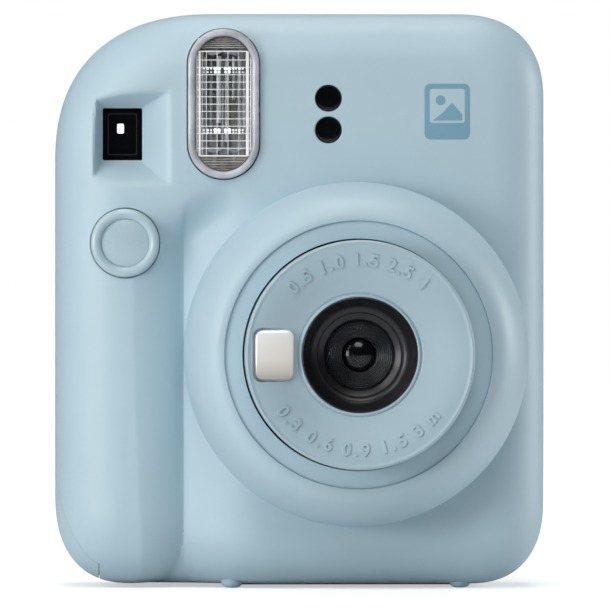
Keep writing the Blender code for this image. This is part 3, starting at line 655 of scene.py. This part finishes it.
def letters(name, words, size, thick, widen, places, bevel=0.0, fineness=12):
    """One object of characters, each moved to its place by a matrix."""
    parts = []
    for word, place in zip(words, places):
        curve = bpy.data.curves.new(name, "FONT")
        curve.body = word
        curve.size = size * MM
        curve.align_x, curve.align_y = "CENTER", "CENTER"
        curve.extrude, curve.offset = thick * MM, widen * MM
        curve.bevel_depth, curve.bevel_resolution = bevel * MM, 1
        curve.resolution_u = fineness
        text = linked(name, curve)
        mesh = evaluated(text)
        bpy.data.objects.remove(text, do_unlink=True)
        mesh.transform(place)
        parts.append(linked(name, mesh))
    return joined(name, parts)


def dial_places(count, radius, first, last, upright):
    """Places along an arc of the dish, from one angle to another, each on the dish's slope."""
    slope = math.atan(face_depth(radius + 0.5) - face_depth(radius - 0.5))
    places = []
    for k in range(count):
        angle = math.radians(first + (last - first) * k / (count - 1))
        place = at(LENS[0] + radius * math.sin(angle), face_depth(radius),
                   LENS[1] + radius * math.cos(angle))
        spin, lean = (angle, slope) if upright else (angle - math.pi, -slope)
        turn = Matrix.Rotation(spin, 4, "Y") @ Matrix.Rotation(math.radians(90), 4, "X")
        places.append(Matrix.Translation(place) @ turn @ Matrix.Rotation(lean, 4, "X"))
    return places


def build_marks():
    """Raised distances in metres round the lens, the lower row upside down from the upper one."""
    for name, words, radius, first, last, upright in (
            ("dial_upper", "0.5 1.0 1.5 2.5 4", 19.7, -45, 41, True),
            ("dial_lower", "0.3 0.6 0.9 1.5 3 m", 19.9, 234, 131, False)):
        places = dial_places(len(words), radius, first, last, upright)
        marks = letters(name, words, 3.7, 0.26, 0.08, places, 0.04, 4)
        dress(marks, blue_disc_painted_shade, "lens_barrel", (), 25)


def build_cone():
    lip, back = face_depth(WELL_R), FACE_D - 9.0
    profile = [(12.0, back), (12.0, lip + 0.05), (11.85, lip + 0.1)]
    for k in range(11):
        t = k / 10
        profile.append((11.7 - 2.8 * t, lip - 0.05 - 3.3 * (1 - (1 - t) ** 2.0)))
    profile += [(8.8, lip - 3.6), (8.55, lip - 3.75), (7.6, lip - 4.1), (7.35, lip - 4.35), (7.35, back)]
    dress(lathe("lens_cone", "d", LENS, profile, 160), fine_black, "lens_barrel",
          ["lens_trim_ring"], 40)


def build_iris():
    """Nine fine steps behind the front glass, and the blind with a square hole at their foot."""
    outer, bore, back = 7.3, 3.62, FACE_D - 10.9
    profile = [(outer, FACE_D - 9.3), (outer, FACE_D - 7.4)]
    for k in range(9):
        r = 7.1 - 0.4 * k
        d = FACE_D - 7.55 - 0.3 * k
        profile += [(r, d), (r - 0.12, d + 0.05), (r - 0.2, d - 0.02), (r - 0.26, d - 0.22)]
    profile += [(bore, FACE_D - 10.3), (bore, back), (6.6, back), (outer, FACE_D - 10.4)]
    dress(lathe("iris_cone", "d", LENS, profile, 128), fine_black, "lens_barrel", (), 25)
    blind = turned("iris_blind", "d", LENS, [(3.9, FACE_D - 11.4), (3.9, FACE_D - 11.0)], 96)
    carve(blind, [plate("square", pad(LENS, (4.7, 4.7), 0.9, 8), (FACE_D - 14, FACE_D - 9))])
    dress(blind, black, "lens_barrel")


def build_glass():
    outer = [(6.95, FACE_D - 7.3), (6.95, FACE_D - 6.9)] + dome(6.8, 1.25, FACE_D - 6.85, 12, 1)
    dress(turned("front_glass", "d", LENS, outer, 128), glass, "lens_barrel",
          ["front_lens"], 60)
    inner = dome(3.5, 1.5, FACE_D - 10.85, 12)
    dress(turned("inner_glass", "d", LENS, inner, 96), inner_glass_painted_shade, "lens_barrel", (), 60)


def clear(name, tint, reflect, rough=0.02):
    """See-through sheet: mostly transparent, with a shine that grows towards the edge."""
    material, tree, shader = empty_material(name)
    tree.nodes.remove(shader)
    through, shine = add(tree, "BsdfTransparent"), add(tree, "BsdfGlossy")
    facing = add(tree, "LayerWeight", Blend=reflect)
    mix = add(tree, "MixShader")
    haze = noise(tree, 700.0, 2.0)
    pale = tuple(min(1.0, c * 1.03) for c in tint[:3]) + (1.0,)
    shade = ramp(tree, haze, "Fac", [(0.3, tint), (0.7, pale)])
    wire(tree, shade, "Color", through, "Color")
    spread = add(tree, "MapRange", To_Min=rough, To_Max=rough * 1.5)
    wire(tree, haze, "Fac", spread, "Value")
    wire(tree, spread, "Result", shine, "Roughness")
    wire(tree, facing, "Fresnel", mix, "Fac")
    wire(tree, through, "BSDF", mix, 1)
    wire(tree, shine, "BSDF", mix, 2)
    wire(tree, mix, "Shader", tree.nodes["Material Output"], "Surface")
    return material


def polished_metal():
    """Mirror with a painted reflection: its colour is white at the top and darkens and warms towards the
    foot, with a faint painted glow.
    """
    material = surface("mirror_finish_painted_reflection", srgb(230, 230, 228), srgb(224, 224, 222), (0.3, 0.36), 900.0, 0.03,
                       metal=0.4, Specular_IOR_Level=0.8, Emission_Color=(1.0, 0.97, 0.93, 1.0),
                       Emission_Strength=0.12)
    tree = material.node_tree
    reach = 5.4
    coords, split = add(tree, "TexCoord"), add(tree, "SeparateXYZ")
    height = add(tree, "MapRange", From_Min=(MIRROR[1] - reach) * MM, From_Max=(MIRROR[1] + reach) * MM)
    wire(tree, coords, "Object", split, "Vector")
    wire(tree, split, "Z", height, "Value")
    # Colour by height: painted reflection, white above and darker and warmer below.
    shade = ramp(tree, height, "Result", [(0.0, srgb(132, 126, 118)), (0.14, srgb(178, 172, 164)),
                                          (0.4, srgb(222, 218, 211)), (1.0, srgb(255, 255, 255))])
    wire(tree, shade, "Color", tree.nodes["Principled BSDF"], "Base Color")
    return material


fine_black = surface("lens_fine_black", srgb(25, 25, 27), srgb(19, 19, 21), (0.28, 0.36), 700.0, 0.02)
glass = clear("coated_glass", (0.95, 0.96, 0.97, 1.0), 0.08)
# Opaque near-black dome: painted shade for the dark inside of the lens; its highlights come from the lamps.
inner_glass_painted_shade = surface("inner_glass_dark_painted_shade", srgb(12, 12, 15), srgb(8, 8, 10), (0.12, 0.18), 900.0, 0.0)
mirror_painted_reflection = polished_metal()
build_front()
build_bezel()
build_ring()
build_barrel()
build_disc()
build_mirror()
build_marks()
build_cone()
build_iris()
build_glass()


# ---- flash

FULL_ROUND = 99
INNER_SIZE = (FLASH_SIZE[0] - 3.4, FLASH_SIZE[1] - 3.4)
LINES_LOW, LINES_HIGH = -11.0, 11.1


def streaked(name, light, dark, stretch, scale, rough, metal):
    return surface(name, light, dark, rough, 1500.0, 0.1, metal=metal, blotch=scale, stretch=stretch)


def rod(name, start, end, radius, steps=10):
    """Thin round rod between two (x, d, z) points."""
    a, b = np.array(start, dtype=float), np.array(end, dtype=float)
    line = (b - a) / np.linalg.norm(b - a)
    side = np.cross(line, (0.0, 1.0, 0.0) if abs(line[1]) < 0.9 else (1.0, 0.0, 0.0))
    side /= np.linalg.norm(side)
    other = np.cross(line, side)
    turns = [2 * math.pi * i / steps for i in range(steps)]
    return loft(name, [[tuple(p + radius * (side * math.cos(t) + other * math.sin(t))) for t in turns]
                       for p in (a, b)])


def bars(name, rows, steps, material):
    """One piece of rods: rows of (left, low, right, high, d, radius) about the flash's middle."""
    x0, z0 = FLASH
    rods = [rod("bar", (x0 + left, d, z0 + low), (x0 + right, d, z0 + high), radius, steps)
            for left, low, right, high, d, radius in rows]
    dress(joined(name, rods), material, "root", (), 60)


def half_width(z, inset):
    """Half width of the flash window at a height above its middle, inset from its edge."""
    radius, half = FLASH_SIZE[0] / 2 - inset, FLASH_SIZE[1] / 2 - inset
    past = abs(z) - (half - radius)
    return radius if past <= 0 else math.sqrt(max(radius ** 2 - past ** 2, 0.0))


def build_flash_case():
    """Rounded rim, the dish behind it and the lamp across the dish."""
    rim = []
    for d, inset in ((40.0, 0.0), (45.2, 0.0), (45.75, 0.1), (46.05, 0.32), (46.15, 0.7), (46.1, 1.1),
                     (45.8, 1.45), (45.3, 1.6), (42.0, 1.7), (40.0, 1.7)):
        size = (FLASH_SIZE[0] - 2 * inset, FLASH_SIZE[1] - 2 * inset)
        rim.append(level(pad(FLASH, size, FULL_ROUND, 28), d))
    dress(hoop("flash_rim", rim), rim_grey, "root", ["flash_lens"], 40)

    width, height = INNER_SIZE
    case = [level(pad(FLASH, INNER_SIZE, FULL_ROUND, 20), d) for d in (34.4, 44.6)]
    dish = ((44.6, 1.0), (43.6, 0.99), (42.0, 0.93), (40.0, 0.8), (38.0, 0.58), (36.6, 0.3))
    hollow = [level(pad(FLASH, (width * share, height - 2 * (1 - share)), FULL_ROUND, 20), d)
              for d, share in dish]
    dress(loft("flash_dish", case + hollow), dish_painted_reflections, "root", ["flash_reflector"], 50)

    x0, z0 = FLASH
    lamp = rod("flash_lamp", (x0, 38.6, z0 - 10.5), (x0, 38.6, z0 + 10.5), 1.1, 24)
    dress(lamp, lamp_glass, "root", ["flash_tube"], 60)


def build_flash_lines():
    """Level ribs and upright rails of the clear front."""
    ribs = []
    for k in range(13):
        z = -9.38 + 1.554 * k
        reach = half_width(z, 1.9)
        ribs.append((-reach, z, reach, z, 44.3, 0.085))
    ribs += [(-5.1, z, 5.0, z, 44.5, radius) for z, radius in ((LINES_LOW, 0.15), (LINES_HIGH, 0.12))]
    bars("flash_ribs", ribs, 8, rib_plastic_painted_highlight)

    rails = ((-5.05, 0.24), (5.05, 0.34), (-1.35, 0.07), (0.95, 0.07), (-4.5, 0.05), (-5.6, 0.08),
             (5.75, 0.1), (-3.6, 0.05), (3.1, 0.05))
    bars("flash_rails", [(x, LINES_LOW, x, LINES_HIGH, 44.7, radius) for x, radius in rails], 10,
         rib_plastic_painted_highlight)


def build_flash_lights():
    """Shapes in the dish that stand for its many reflections."""
    x0, z0 = FLASH
    beads = []
    for row, lift in ((7.5, 0.75), (-5.5, 0.5)):
        for offset, radius in ((-1.7, 0.42), (-0.9, 0.36), (0.45, 0.36), (1.25, 0.42), (-4.1, 0.2),
                               (-3.3, 0.26), (-2.6, 0.2), (2.1, 0.22), (2.7, 0.2), (3.4, 0.26), (4.1, 0.2)):
            for step in (0, 1):
                profile = dome(radius * (1 - 0.25 * step), 0.3, 42.6, 6)
                beads.append(turned("bead", "d", (x0 + offset, z0 + row - lift * step), profile, 20))
    dress(joined("flash_glints", beads), glint, "root", (), 60)

    wings = []
    for top, bottom in ((11.4, 10.2), (-9.2, -10.3)):
        for side in (-1, 1):
            inner, outer, foot = (x0 + side * reach for reach in (0.3, 4.6, 2.6))
            outline = [(inner, z0 + top), (outer, z0 + top), (foot, z0 + bottom),
                       (inner, z0 + (top + bottom) / 2)]
            wings.append(plate("wing", outline if side > 0 else outline[::-1], (42.6, 42.9)))
    dress(joined("flash_facets", wings), facet_painted_reflection, "root", (), 60)

    streaks = ((-3.9, 0.45, -2.0, 10.0), (-2.6, 0.35, -9.0, 9.6), (-0.9, 0.55, -4.0, 10.2),
               (-0.1, 0.2, -10.0, 4.0), (0.7, 0.35, -8.0, 9.8), (2.2, 0.4, 1.0, 10.0),
               (3.6, 0.3, -9.5, 10.0), (4.4, 0.2, -6.0, 7.0))
    bars("flash_streaks", [(x, low, x, high, 41.2, radius) for x, radius, low, high in streaks], 14,
         glow_bar)


def build_flash_ends():
    """Louvres at the round ends, the tab and the clear pane over it all."""
    louvres = []
    for z, stop, pitch in ((11.9, 14.0, 0.46), (-13.9, -10.9, 0.56)):
        while z <= stop:
            reach = half_width(z, 1.8)
            if reach > 0.7:
                louvres.append((-reach, z, reach, z, 43.9, 0.15))
            z += pitch
    bars("flash_louvres", louvres, 8, louvre)

    x0, z0 = FLASH
    tab = block("flash_tab", (x0 + 7.1, x0 + 7.5), (45.2, 45.75), (z0 - 0.7, z0 + 1.6))
    dress(tab, amber, "root")
    size = (INNER_SIZE[0] + 0.6, INNER_SIZE[1] + 0.6)
    cover = soft_plate("flash_pane", FLASH, size, FULL_ROUND, 45.2, 45.9, 0.25, 0.15, 20)
    dress(cover, pane, "root", (), 50)


# White of the painted glow on the flash ribs, dish glints and finder sight.
painted_glow_white = (1.0, 1.0, 1.0, 1.0)
rim_grey = surface("flash_rim_grey", srgb(206, 209, 215), srgb(168, 172, 177), (0.12, 0.22), 800.0, 0.04,
                   blotch=160.0)
# Light and dark streaks on the dish: painted reflections.
dish_painted_reflections = streaked("flash_dish_painted_reflections", srgb(232, 234, 232), srgb(104, 108, 104), (1.0, 0.3, 0.06), 620.0,
                      (0.25, 0.4), 0.35)
lamp_glass = surface("lamp_glass", srgb(200, 202, 206), srgb(120, 122, 126), (0.05, 0.12), 900.0, 0.05,
                     blotch=500.0)
# Pale ribs with a faint glow: painted highlight where the clear ribs of the flash front catch the light.
rib_plastic_painted_highlight = surface("rib_plastic_painted_highlight", srgb(250, 250, 250), srgb(222, 223, 224), (0.1, 0.2), 900.0, 0.05,
                         blotch=420.0, Emission_Color=painted_glow_white, Emission_Strength=0.35)
# Glints, facets and glow bars are painted reflections in the dish; the glints also glow.
glint = surface("glint", srgb(252, 253, 255), srgb(228, 232, 238), (0.1, 0.2), 900.0, 0.05, blotch=900.0,
                Emission_Color=painted_glow_white, Emission_Strength=0.7)
facet_painted_reflection = surface("facet_painted_reflection", srgb(206, 216, 224), srgb(128, 138, 146), (0.2, 0.3), 900.0, 0.05, metal=0.3,
                blotch=700.0)
glow_bar = streaked("glow_bar", srgb(206, 211, 213), srgb(120, 126, 128), (1.0, 0.5, 0.12), 900.0,
                    (0.2, 0.3), 0.25)
louvre = streaked("louvre_metal", srgb(226, 218, 212), srgb(170, 158, 150), (0.2, 1.0, 1.0), 500.0,
                  (0.2, 0.35), 0.3)
amber = surface("amber_tab", srgb(150, 134, 104), srgb(128, 112, 84), (0.3, 0.4), 900.0, 0.05)
pane = clear("flash_pane_clear", (0.97, 0.975, 0.975, 1.0), 0.2, 0.05)
build_flash_case()
build_flash_lines()
build_flash_lights()
build_flash_ends()


# ---- finder, sensors and release

def build_finder():
    """Opaque black window, painted shade for the dark inside of the finder, with a light spot to look
    through that is a glowing pane of painted light, and a thin frame line round its edge.
    """
    sight = (FINDER[0] - 0.4, FINDER[1] + 1.2)
    through, floor = (30, 45), FINDER_FLOOR_D
    window = plate("finder_window", pad(FINDER, (7.9, 10.6), 0.4), (floor - 1.4, floor - 0.45))
    carve(window, [plate("sight", pad(sight, (1.45, 2.1), 0.35), through)])
    dress(window, gloss, "root", ["viewfinder_window"])
    line = plate("finder_line", pad(FINDER, (6.2, 8.8), 0.5), (floor - 0.44, floor - 0.4))
    carve(line, [plate("line_hole", pad(FINDER, (5.9, 8.5), 0.4), through)])
    dress(line, black, "root")
    # Pane that glows behind the sight: painted light seen through the finder.
    light = plate("sight_pane", pad(sight, (1.8, 2.45), 0.4), (floor - 1.75, floor - 1.5))
    dress(light, sight_painted_light, "root", (), 50)


def build_sensors():
    radius = 2.7
    for place, z in zip(("upper", "lower"), SENSOR_ZS):
        profile = [(radius, 41.5), (radius, 43.7)] + dome(radius * 0.98, 0.12, 43.75, 8)
        window = turned("sensor_" + place, "d", (SENSOR_X, z), profile, 64)
        dress(window, gloss, "root", ["sensor_window_" + place], 50)


def build_button():
    """Release button: hollow below for its spring, with a rounded ring about a crowned disc."""
    front, under = 45.8, 42.8
    stem_r, hollow_r, outer_r, skirt = 2.0, 4.4, 7.28, 40.8
    ring_r, ring_round, disc_r = 6.17, 1.11, 5.0
    profile = [(stem_r, 33.8), (stem_r, under), (hollow_r, under), (hollow_r, skirt), (outer_r, skirt),
               (outer_r, front - 1.1)]
    profile += [(ring_r + ring_round * math.cos(t), front - 1.1 + 1.1 * math.sin(t))
                for t in sweep(180, 16, 1)]
    for k in range(13):
        share = 1 - k / 12
        profile.append((disc_r * share, front - 1.0 + 0.6 * (1 - share ** 2)))
    dress(turned("release_button", "d", BUTTON, profile, 120), blue_gloss, "shutter_button",
          ["shutter_button"], 40)


def build_pictogram():
    """Plain printed sign at the upper right: a print with its picture, bent to lie on the face."""
    x, z = 31.0, 101.0
    span = (43.0, 48.0)
    sheet = plate("sign_frame", pad((x, z), (9.6, 11.8), 1.2), span)
    carve(sheet, [plate("sign_gap", pad((x, z + 1.2), (7.4, 7.2), 0.5), (42.0, 49.0))])
    sun = turned("sign_sun", "d", (x - 1.4, z + 2.4), [(1.05, d) for d in span], 32)
    hill = plate("sign_hill", [(x - 3.1, z - 1.9), (x + 3.2, z - 1.9), (x + 3.2, z - 0.6),
                               (x + 1.0, z + 1.9), (x - 1.0, z - 0.3)], span)
    sign = joined("sign", [sheet, sun, hill])
    for vertex in sign.data.vertices:
        px, pz = vertex.co.x / MM, vertex.co.z / MM
        in_front = DEPTH / 2 - vertex.co.y / MM > FRONT_D
        vertex.co = at(px, face_depth_at(px, pz) + (0.04 if in_front else -0.4), pz)
    dress(sign, ink, "root")


# Glowing white for the finder's sight: painted light, not a lamp.
sight_painted_light = surface("sight_painted_glow", (0.95, 0.95, 0.95, 1), (0.85, 0.85, 0.85, 1), (0.2, 0.3), 800.0, 0.02,
                   Emission_Color=painted_glow_white, Emission_Strength=0.9)
build_finder()
build_sensors()
build_button()
build_pictogram()


# ---- back cover and door

DOOR_SIDES, DOOR_ENDS, DOOR_TAB = (-24.0, 47.4), (5.1, 117.7), (42.9, 13.2, 107.8)
HINGE = (45.5, 4.2)
WINDOW = (LENS[0], 52.0)
REAR_ROUND = 6.5
BEHIND = (-2, 8)
SCREWS = {"screw_upper_left": (-46.0, 78.0), "screw_lower_left": (-47.0, 40.0),
          "screw_upper_right": (-29.0, 114.0), "screw_lower_right": (-29.0, 6.5)}


def bevelled(obj, width, segments=3):
    edge = obj.modifiers.new("edge", "BEVEL")
    edge.width, edge.segments = width * MM, segments
    edge.limit_method, edge.angle_limit = "ANGLE", math.radians(45)
    mesh = evaluated(obj)
    obj.modifiers.clear()
    obj.data = mesh
    return obj


def rear_distance(x, d, z, inset=0.0):
    """Distance outside the rear cover, closed off a little in front of its seam."""
    body = rounded_edge(outline_distance(x, z), BACK_D - d, REAR_ROUND, 2.2)
    return np.maximum(body + inset, d - 12.0 - inset)


def door_outline(left, right, bottom, top, low_round, high_round):
    """Outline that is tightly rounded beside the latch and widely beside the hinge."""
    return rounded(left, right, bottom, top, [(3.0, 3.0), low_round, high_round, (3.0, 3.0)])


def corner_blocks(prefix, shift, grow):
    """The two corners beside the hinge, where the door stops short."""
    x, low, high = DOOR_TAB
    return [block(prefix + "_low", (x + shift, 56), (-4, 9), (-5, low - grow)),
            block(prefix + "_high", (x + shift, 56), (-4, 9), (high + grow, 130))]


def build_rear():
    rear = surface_net("rear_shell", rear_distance, (-54.2, 0.8, -1.4), (54.2, 13.0, 124.2), 0.7)
    inside = surface_net("rear_hollow", lambda x, d, z: rear_distance(x, d, z, WALL),
                         (-54, 2, -1), (54, 16, 124), 1.6, 2)
    outline = door_outline(DOOR_SIDES[0] - GAP, DOOR_SIDES[1] + 1.5, DOOR_ENDS[0] - GAP, DOOR_ENDS[1] + GAP,
                           (11.5, 12.4), (14.1, 13.9))
    opening = plate("opening", outline, (-2, 12))
    carve(opening, corner_blocks("keep", 1.6, GAP))
    carve(rear, [inside, block("rear_end", ACROSS, (SEAM_D - 0.13, 30), (-9, 130)), opening,
                 plate("eye_hole", pad(FINDER, (11.0, 13.6), 2.0), BEHIND),
                 plate("count_hole", pad(COUNTER_WINDOW, (4.6, 3.8), 0.8), BEHIND),
                 *[turned("screw_hole", "d", place, [(2.2, -2), (2.2, 2.0), (1.9, 2.4), (1.9, 6)], 40)
                   for place in SCREWS.values()],
                 *strap_holes("rear_strap")])
    dress(rear, blue, "root", ["rear_cover"])
    for name, place in SCREWS.items():
        head = turned("head_" + name, "d", place, [(0.9, 9.0), (0.9, 3.7), (1.6, 3.6), (1.6, 3.0),
                                                   (1.35, 2.72), (0.8, 2.62)], 40)
        x, z = place
        long, short, deep = 0.95, 0.2, (2, 3.2)
        carve(head, [block("slot_a", (x - long, x + long), deep, (z - short, z + short)),
                     block("slot_b", (x - short, x + short), deep, (z - long, z + long))])
        dress(head, steel, "root", [name])


def build_door():
    """The back door with its hinge knuckle, its window's sunk frame and the scoop round the latch."""
    panel = plate("door_panel", door_outline(*DOOR_SIDES, *DOOR_ENDS, (11.4, 13.7), (14.0, 14.2)),
                  (BACK_D, BACK_D + 2.2))
    through = (-1, 8)
    carve(panel, [*corner_blocks("cut", 0.0, 0.0),
                  block("latch_hole", (-21.3, -12.7), through, (56.0, 70.0)),
                  plate("window_hole", pad(WINDOW, (9.6, 26.6), 2.5, 12), through)])
    bevelled(panel, 0.35)
    recess = [level(pad(WINDOW, (15.0 + grow, 32.0 + grow), 5.0 + grow / 2, 14), BACK_D + deep)
              for deep, grow in ((-2, 0.6), (0, 0.5), (0.2, 0.1), (0.45, -0.2), (0.55, -0.7))]
    scoop = [level(pad((-17.0, 63.0), (15.0 * share, 22.0 * share), 7.0 * share, 14), BACK_D + deep)
             for deep, share in ((-2, 1.02), (0, 1.0), (0.35, 0.94), (0.7, 0.84), (0.9, 0.72))]
    carve(panel, [loft("window_recess", recess), loft("latch_scoop", scoop)])
    outer, bore, low, high = 2.2, 1.1, 24.0, 96.0
    knuckle = lathe("knuckle", "z", HINGE, fillet([(outer, low, 0.3), (outer, high, 0.3), (bore, high, 0),
                                                   (bore, low, 0)], 3), 48)
    carve(panel, [turned("pin_way", "z", HINGE, [(bore, low - 4), (bore, high + 4)], 48)])
    carve(panel, [knuckle], "UNION")
    dress(panel, blue, "back_door", ["back_door"], 14)
    pin = turned("hinge_pin", "z", HINGE, [(0.6, 18.2), (0.8, 18.4), (0.8, 101.6), (0.6, 101.8)], 32)
    dress(pin, steel, "root", ["door_hinge_pin"])
    window = back_plate("film_pane", WINDOW, (9.0, 26.0), 2.2, 2.45, 4.0, 0.3, 14)
    dress(window, smoked, "back_door", ["film_window"], 50)


def build_latch():
    """The door's slider: a ribbed head, a neck through the door and a tongue behind it."""
    head = bevelled(block("latch_head", (-20.7, -15.6), (1.4, 3.9), (56.3, 69.7)), 0.7, 4)
    grips = []
    for k in range(7):
        z = 58.8 + 1.4 * k
        grips.append(rod("grip", (-19.7, 1.45, z), (-16.6, 1.45, z), 0.28, 12))
    neck = block("latch_neck", (-20.5, -15.8), (3.6, 4.4), (57.0, 69.0))
    tongue = bevelled(block("latch_tongue", (-23.2, -11.6), (4.21, 5.4), (55.0, 71.0)), 0.3)
    dress(joined("latch_slider", [head, *grips, neck, tongue]), blue_smooth, "door_latch",
          ["door_latch"], 40)


def build_eyepiece():
    frame_piece = back_plate("eye_frame", FINDER, (10.4, 13.0), 1.8, 0.0, 4.0, 0.9, 12)
    funnel = [level(pad(FINDER, (width, width + 2.3), 1.5, 12), d)
              for d, width in ((-1.0, 9.2), (0.0, 8.3), (0.5, 7.7), (1.6, 6.8), (3.0, 6.4))]
    carve(frame_piece, [loft("eye_funnel", funnel)])
    dress(frame_piece, black, "root", ["viewfinder_eyepiece"], 40)
    lens = back_plate("eye_glass", FINDER, (6.0, 8.2), 1.1, 2.3, 2.98, 0.3, 12)
    dress(lens, smoked, "root", (), 50)
    count_pane = back_plate("count_pane", COUNTER_WINDOW, (4.0, 3.2), 0.6, 2.3, 3.9, 0.25)
    dress(count_pane, pane, "root", ["counter_window"], 50)


def build_count_numbers():
    """Remaining pictures, printed round the counter dial and read through the little window."""
    x, z = COUNTER_WINDOW[0], 20.0
    radius, count = 6.6, 11
    places = []
    for k in range(count):
        angle = 2 * math.pi * k / count
        turn = (Matrix.Rotation(angle, 4, "Y") @ Matrix.Rotation(math.pi, 4, "Z")
                @ Matrix.Rotation(math.pi / 2, 4, "X"))
        place = at(x + radius * math.sin(angle), 4.76, z + radius * math.cos(angle))
        places.append(Matrix.Translation(place) @ turn)
    numbers = letters("count_numbers", [str(k) for k in range(count)], 2.9, 0.04, 0.04, places)
    dress(numbers, black, "counter_dial")


def build_fittings():
    for name, x in (("left", -14.4), ("right", 34.1)):
        profile = [(2.3, 2.6), (2.3, 1.3), (2.2, 0.9), (1.95, 0.5), (1.5, 0.2), (0.9, 0.05), (0.3, 0.0)]
        foot = turned("foot_dome_" + name, "z", (x, 34.5), profile, 40)
        dress(foot, blue_smooth, "root", ["foot_" + name], 60)
    bar = bevelled(block("foot_bar", (-16.0, 36.0), (13.0, 17.0), (0.0, 0.95)), 0.35)
    dress(bar, blue_smooth, "root", ["foot_rear"])
    for name, x in (("left", -47.8), ("right", 47.8)):
        lug = rod("strap_lug_" + name, (x, 15.5, 90.2), (x, 15.5, 100.4), 0.8, 24)
        dress(lug, blue_smooth, "root", ["strap_bar_" + name], 60)


smoked = surface("smoked_window", srgb(26, 22, 20), srgb(18, 15, 14), (0.04, 0.08), 900.0, 0.02)
build_rear()
build_door()
build_latch()
build_eyepiece()
build_count_numbers()
build_fittings()


# ---- inner parts

def paint(material, *names):
    """Give carried-over nodes their finish."""
    for name in names:
        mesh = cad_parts[name].data
        mesh.materials.clear()
        mesh.materials.append(material)


paint(inner_black, "viewfinder_tube", "film_chamber", "dark_cone", "battery_box", "shutter_housing")
paint(black, "shutter_blade", "roller_drive", "roller_idler")
paint(glass, "rear_lens")
paint(steel, "roller_bracket", "gear_shaft", "drive_motor", "battery_contact_lower", "battery_contact_upper",
      "button_spring", "film_claw", "pressure_pad_lower", "pressure_pad_upper")
paint(white_plastic, "roller_gear", "drive_gear", "motor_pinion", "counter_dial")
paint(board_green, "circuit_board")
paint(sleeve, "flash_capacitor")
paint(jacket, "aa_cell_front", "aa_cell_rear")
paint(foam, "light_seal")
paint(blue, "battery_latch")


# ---- studio, in metres

def build_backdrop(scene):
    """White where the camera looks past the part, and a weak pale light for everything else."""
    world = bpy.data.worlds.new("studio")
    scene.world = world
    world.use_nodes = True
    tree = world.node_tree
    ambient = tree.nodes["Background"]
    ambient.inputs["Color"].default_value = (0.95, 0.98, 1.0, 1.0)
    ambient.inputs["Strength"].default_value = 0.03
    white = add(tree, "Background", Color=(1.0, 1.0, 1.0, 1.0))
    path, choose = add(tree, "LightPath"), add(tree, "MixShader")
    wire(tree, path, "Is Camera Ray", choose, 0)
    wire(tree, ambient, "Background", choose, 1)
    wire(tree, white, "Background", choose, 2)
    wire(tree, choose, "Shader", tree.nodes["World Output"], "Surface")


def build_floor():
    """Pale floor that glows to the camera, more with the distance from the part, so it fades to white."""
    reach = 4.0
    mesh = bpy.data.meshes.new("floor")
    mesh.from_pydata([(-reach, -reach, 0), (reach, -reach, 0), (reach, reach, 0), (-reach, reach, 0)], [],
                     [(0, 1, 2, 3)])
    floor = linked("floor", mesh)
    paper = surface("paper", (0.86, 0.87, 0.88, 1), (0.85, 0.86, 0.87, 1), (0.8, 0.9), 400.0, 0.02,
                    Emission_Color=(1.0, 1.0, 1.0, 1.0))
    tree = paper.node_tree
    coords, away = add(tree, "TexCoord"), add(tree, "VectorMath")
    away.operation = "LENGTH"
    wire(tree, coords, "Object", away, 0)
    fade = add(tree, "MapRange", From_Min=0.12, From_Max=0.9, To_Min=0.5, To_Max=1.0)
    fade.interpolation_type = "SMOOTHSTEP"
    wire(tree, away, "Value", fade, "Value")
    path, glow = add(tree, "LightPath"), add(tree, "Math")
    glow.operation = "MULTIPLY"
    wire(tree, path, "Is Camera Ray", glow, 0)
    wire(tree, fade, "Result", glow, 1)
    wire(tree, glow, "Value", tree.nodes["Principled BSDF"], "Emission Strength")
    mesh.materials.append(paper)


def facing(place, target):
    return (target - place).to_track_quat("-Z", "Y").to_euler()


def build_lamps():
    """Soft square lamps: name, place, side and power in watts."""
    for name, place, side, power in (
            ("left_high", (-0.7, -0.6, 0.7), 0.5, 2.5), ("left_side", (-1.0, -0.15, 0.3), 0.5, 0.9),
            ("left_low", (-0.8, -0.7, 0.06), 0.5, 6.1), ("front_high", (0.0, -0.9, 0.8), 0.5, 3.2),
            ("top", (0.0, -0.05, 1.0), 0.5, 3.2), ("top_back", (0.0, 0.45, 0.9), 0.5, 1.3),
            ("right_side", (1.0, 0.15, 0.25), 0.4, 4.2)):
        data = bpy.data.lights.new(name, "AREA")
        data.shape, data.size, data.energy = "SQUARE", side, power
        lamp = linked(name, data)
        lamp.location = place
        lamp.rotation_euler = facing(Vector(place), Vector((0.0, 0.0, 0.06)))


def build_camera(scene):
    """Long lens, a little to the left of straight on, as the photo was taken."""
    data = bpy.data.cameras.new("camera")
    data.sensor_width, data.lens, data.clip_end = 36.0, 438.6, 20.0
    camera = linked("camera", data)
    target = Vector((1.4, DEPTH / 2 - 25.0, 60.1)) * MM
    turn, distance = math.radians(-1.4), 1.59
    camera.location = target + Vector((math.sin(turn), -math.cos(turn), 0.0)) * distance
    camera.rotation_euler = facing(camera.location, target)
    scene.camera = camera


stage_scene = bpy.context.scene
stage_scene.view_settings.view_transform = "Standard"
build_backdrop(stage_scene)
build_floor()
build_lamps()
build_camera(stage_scene)
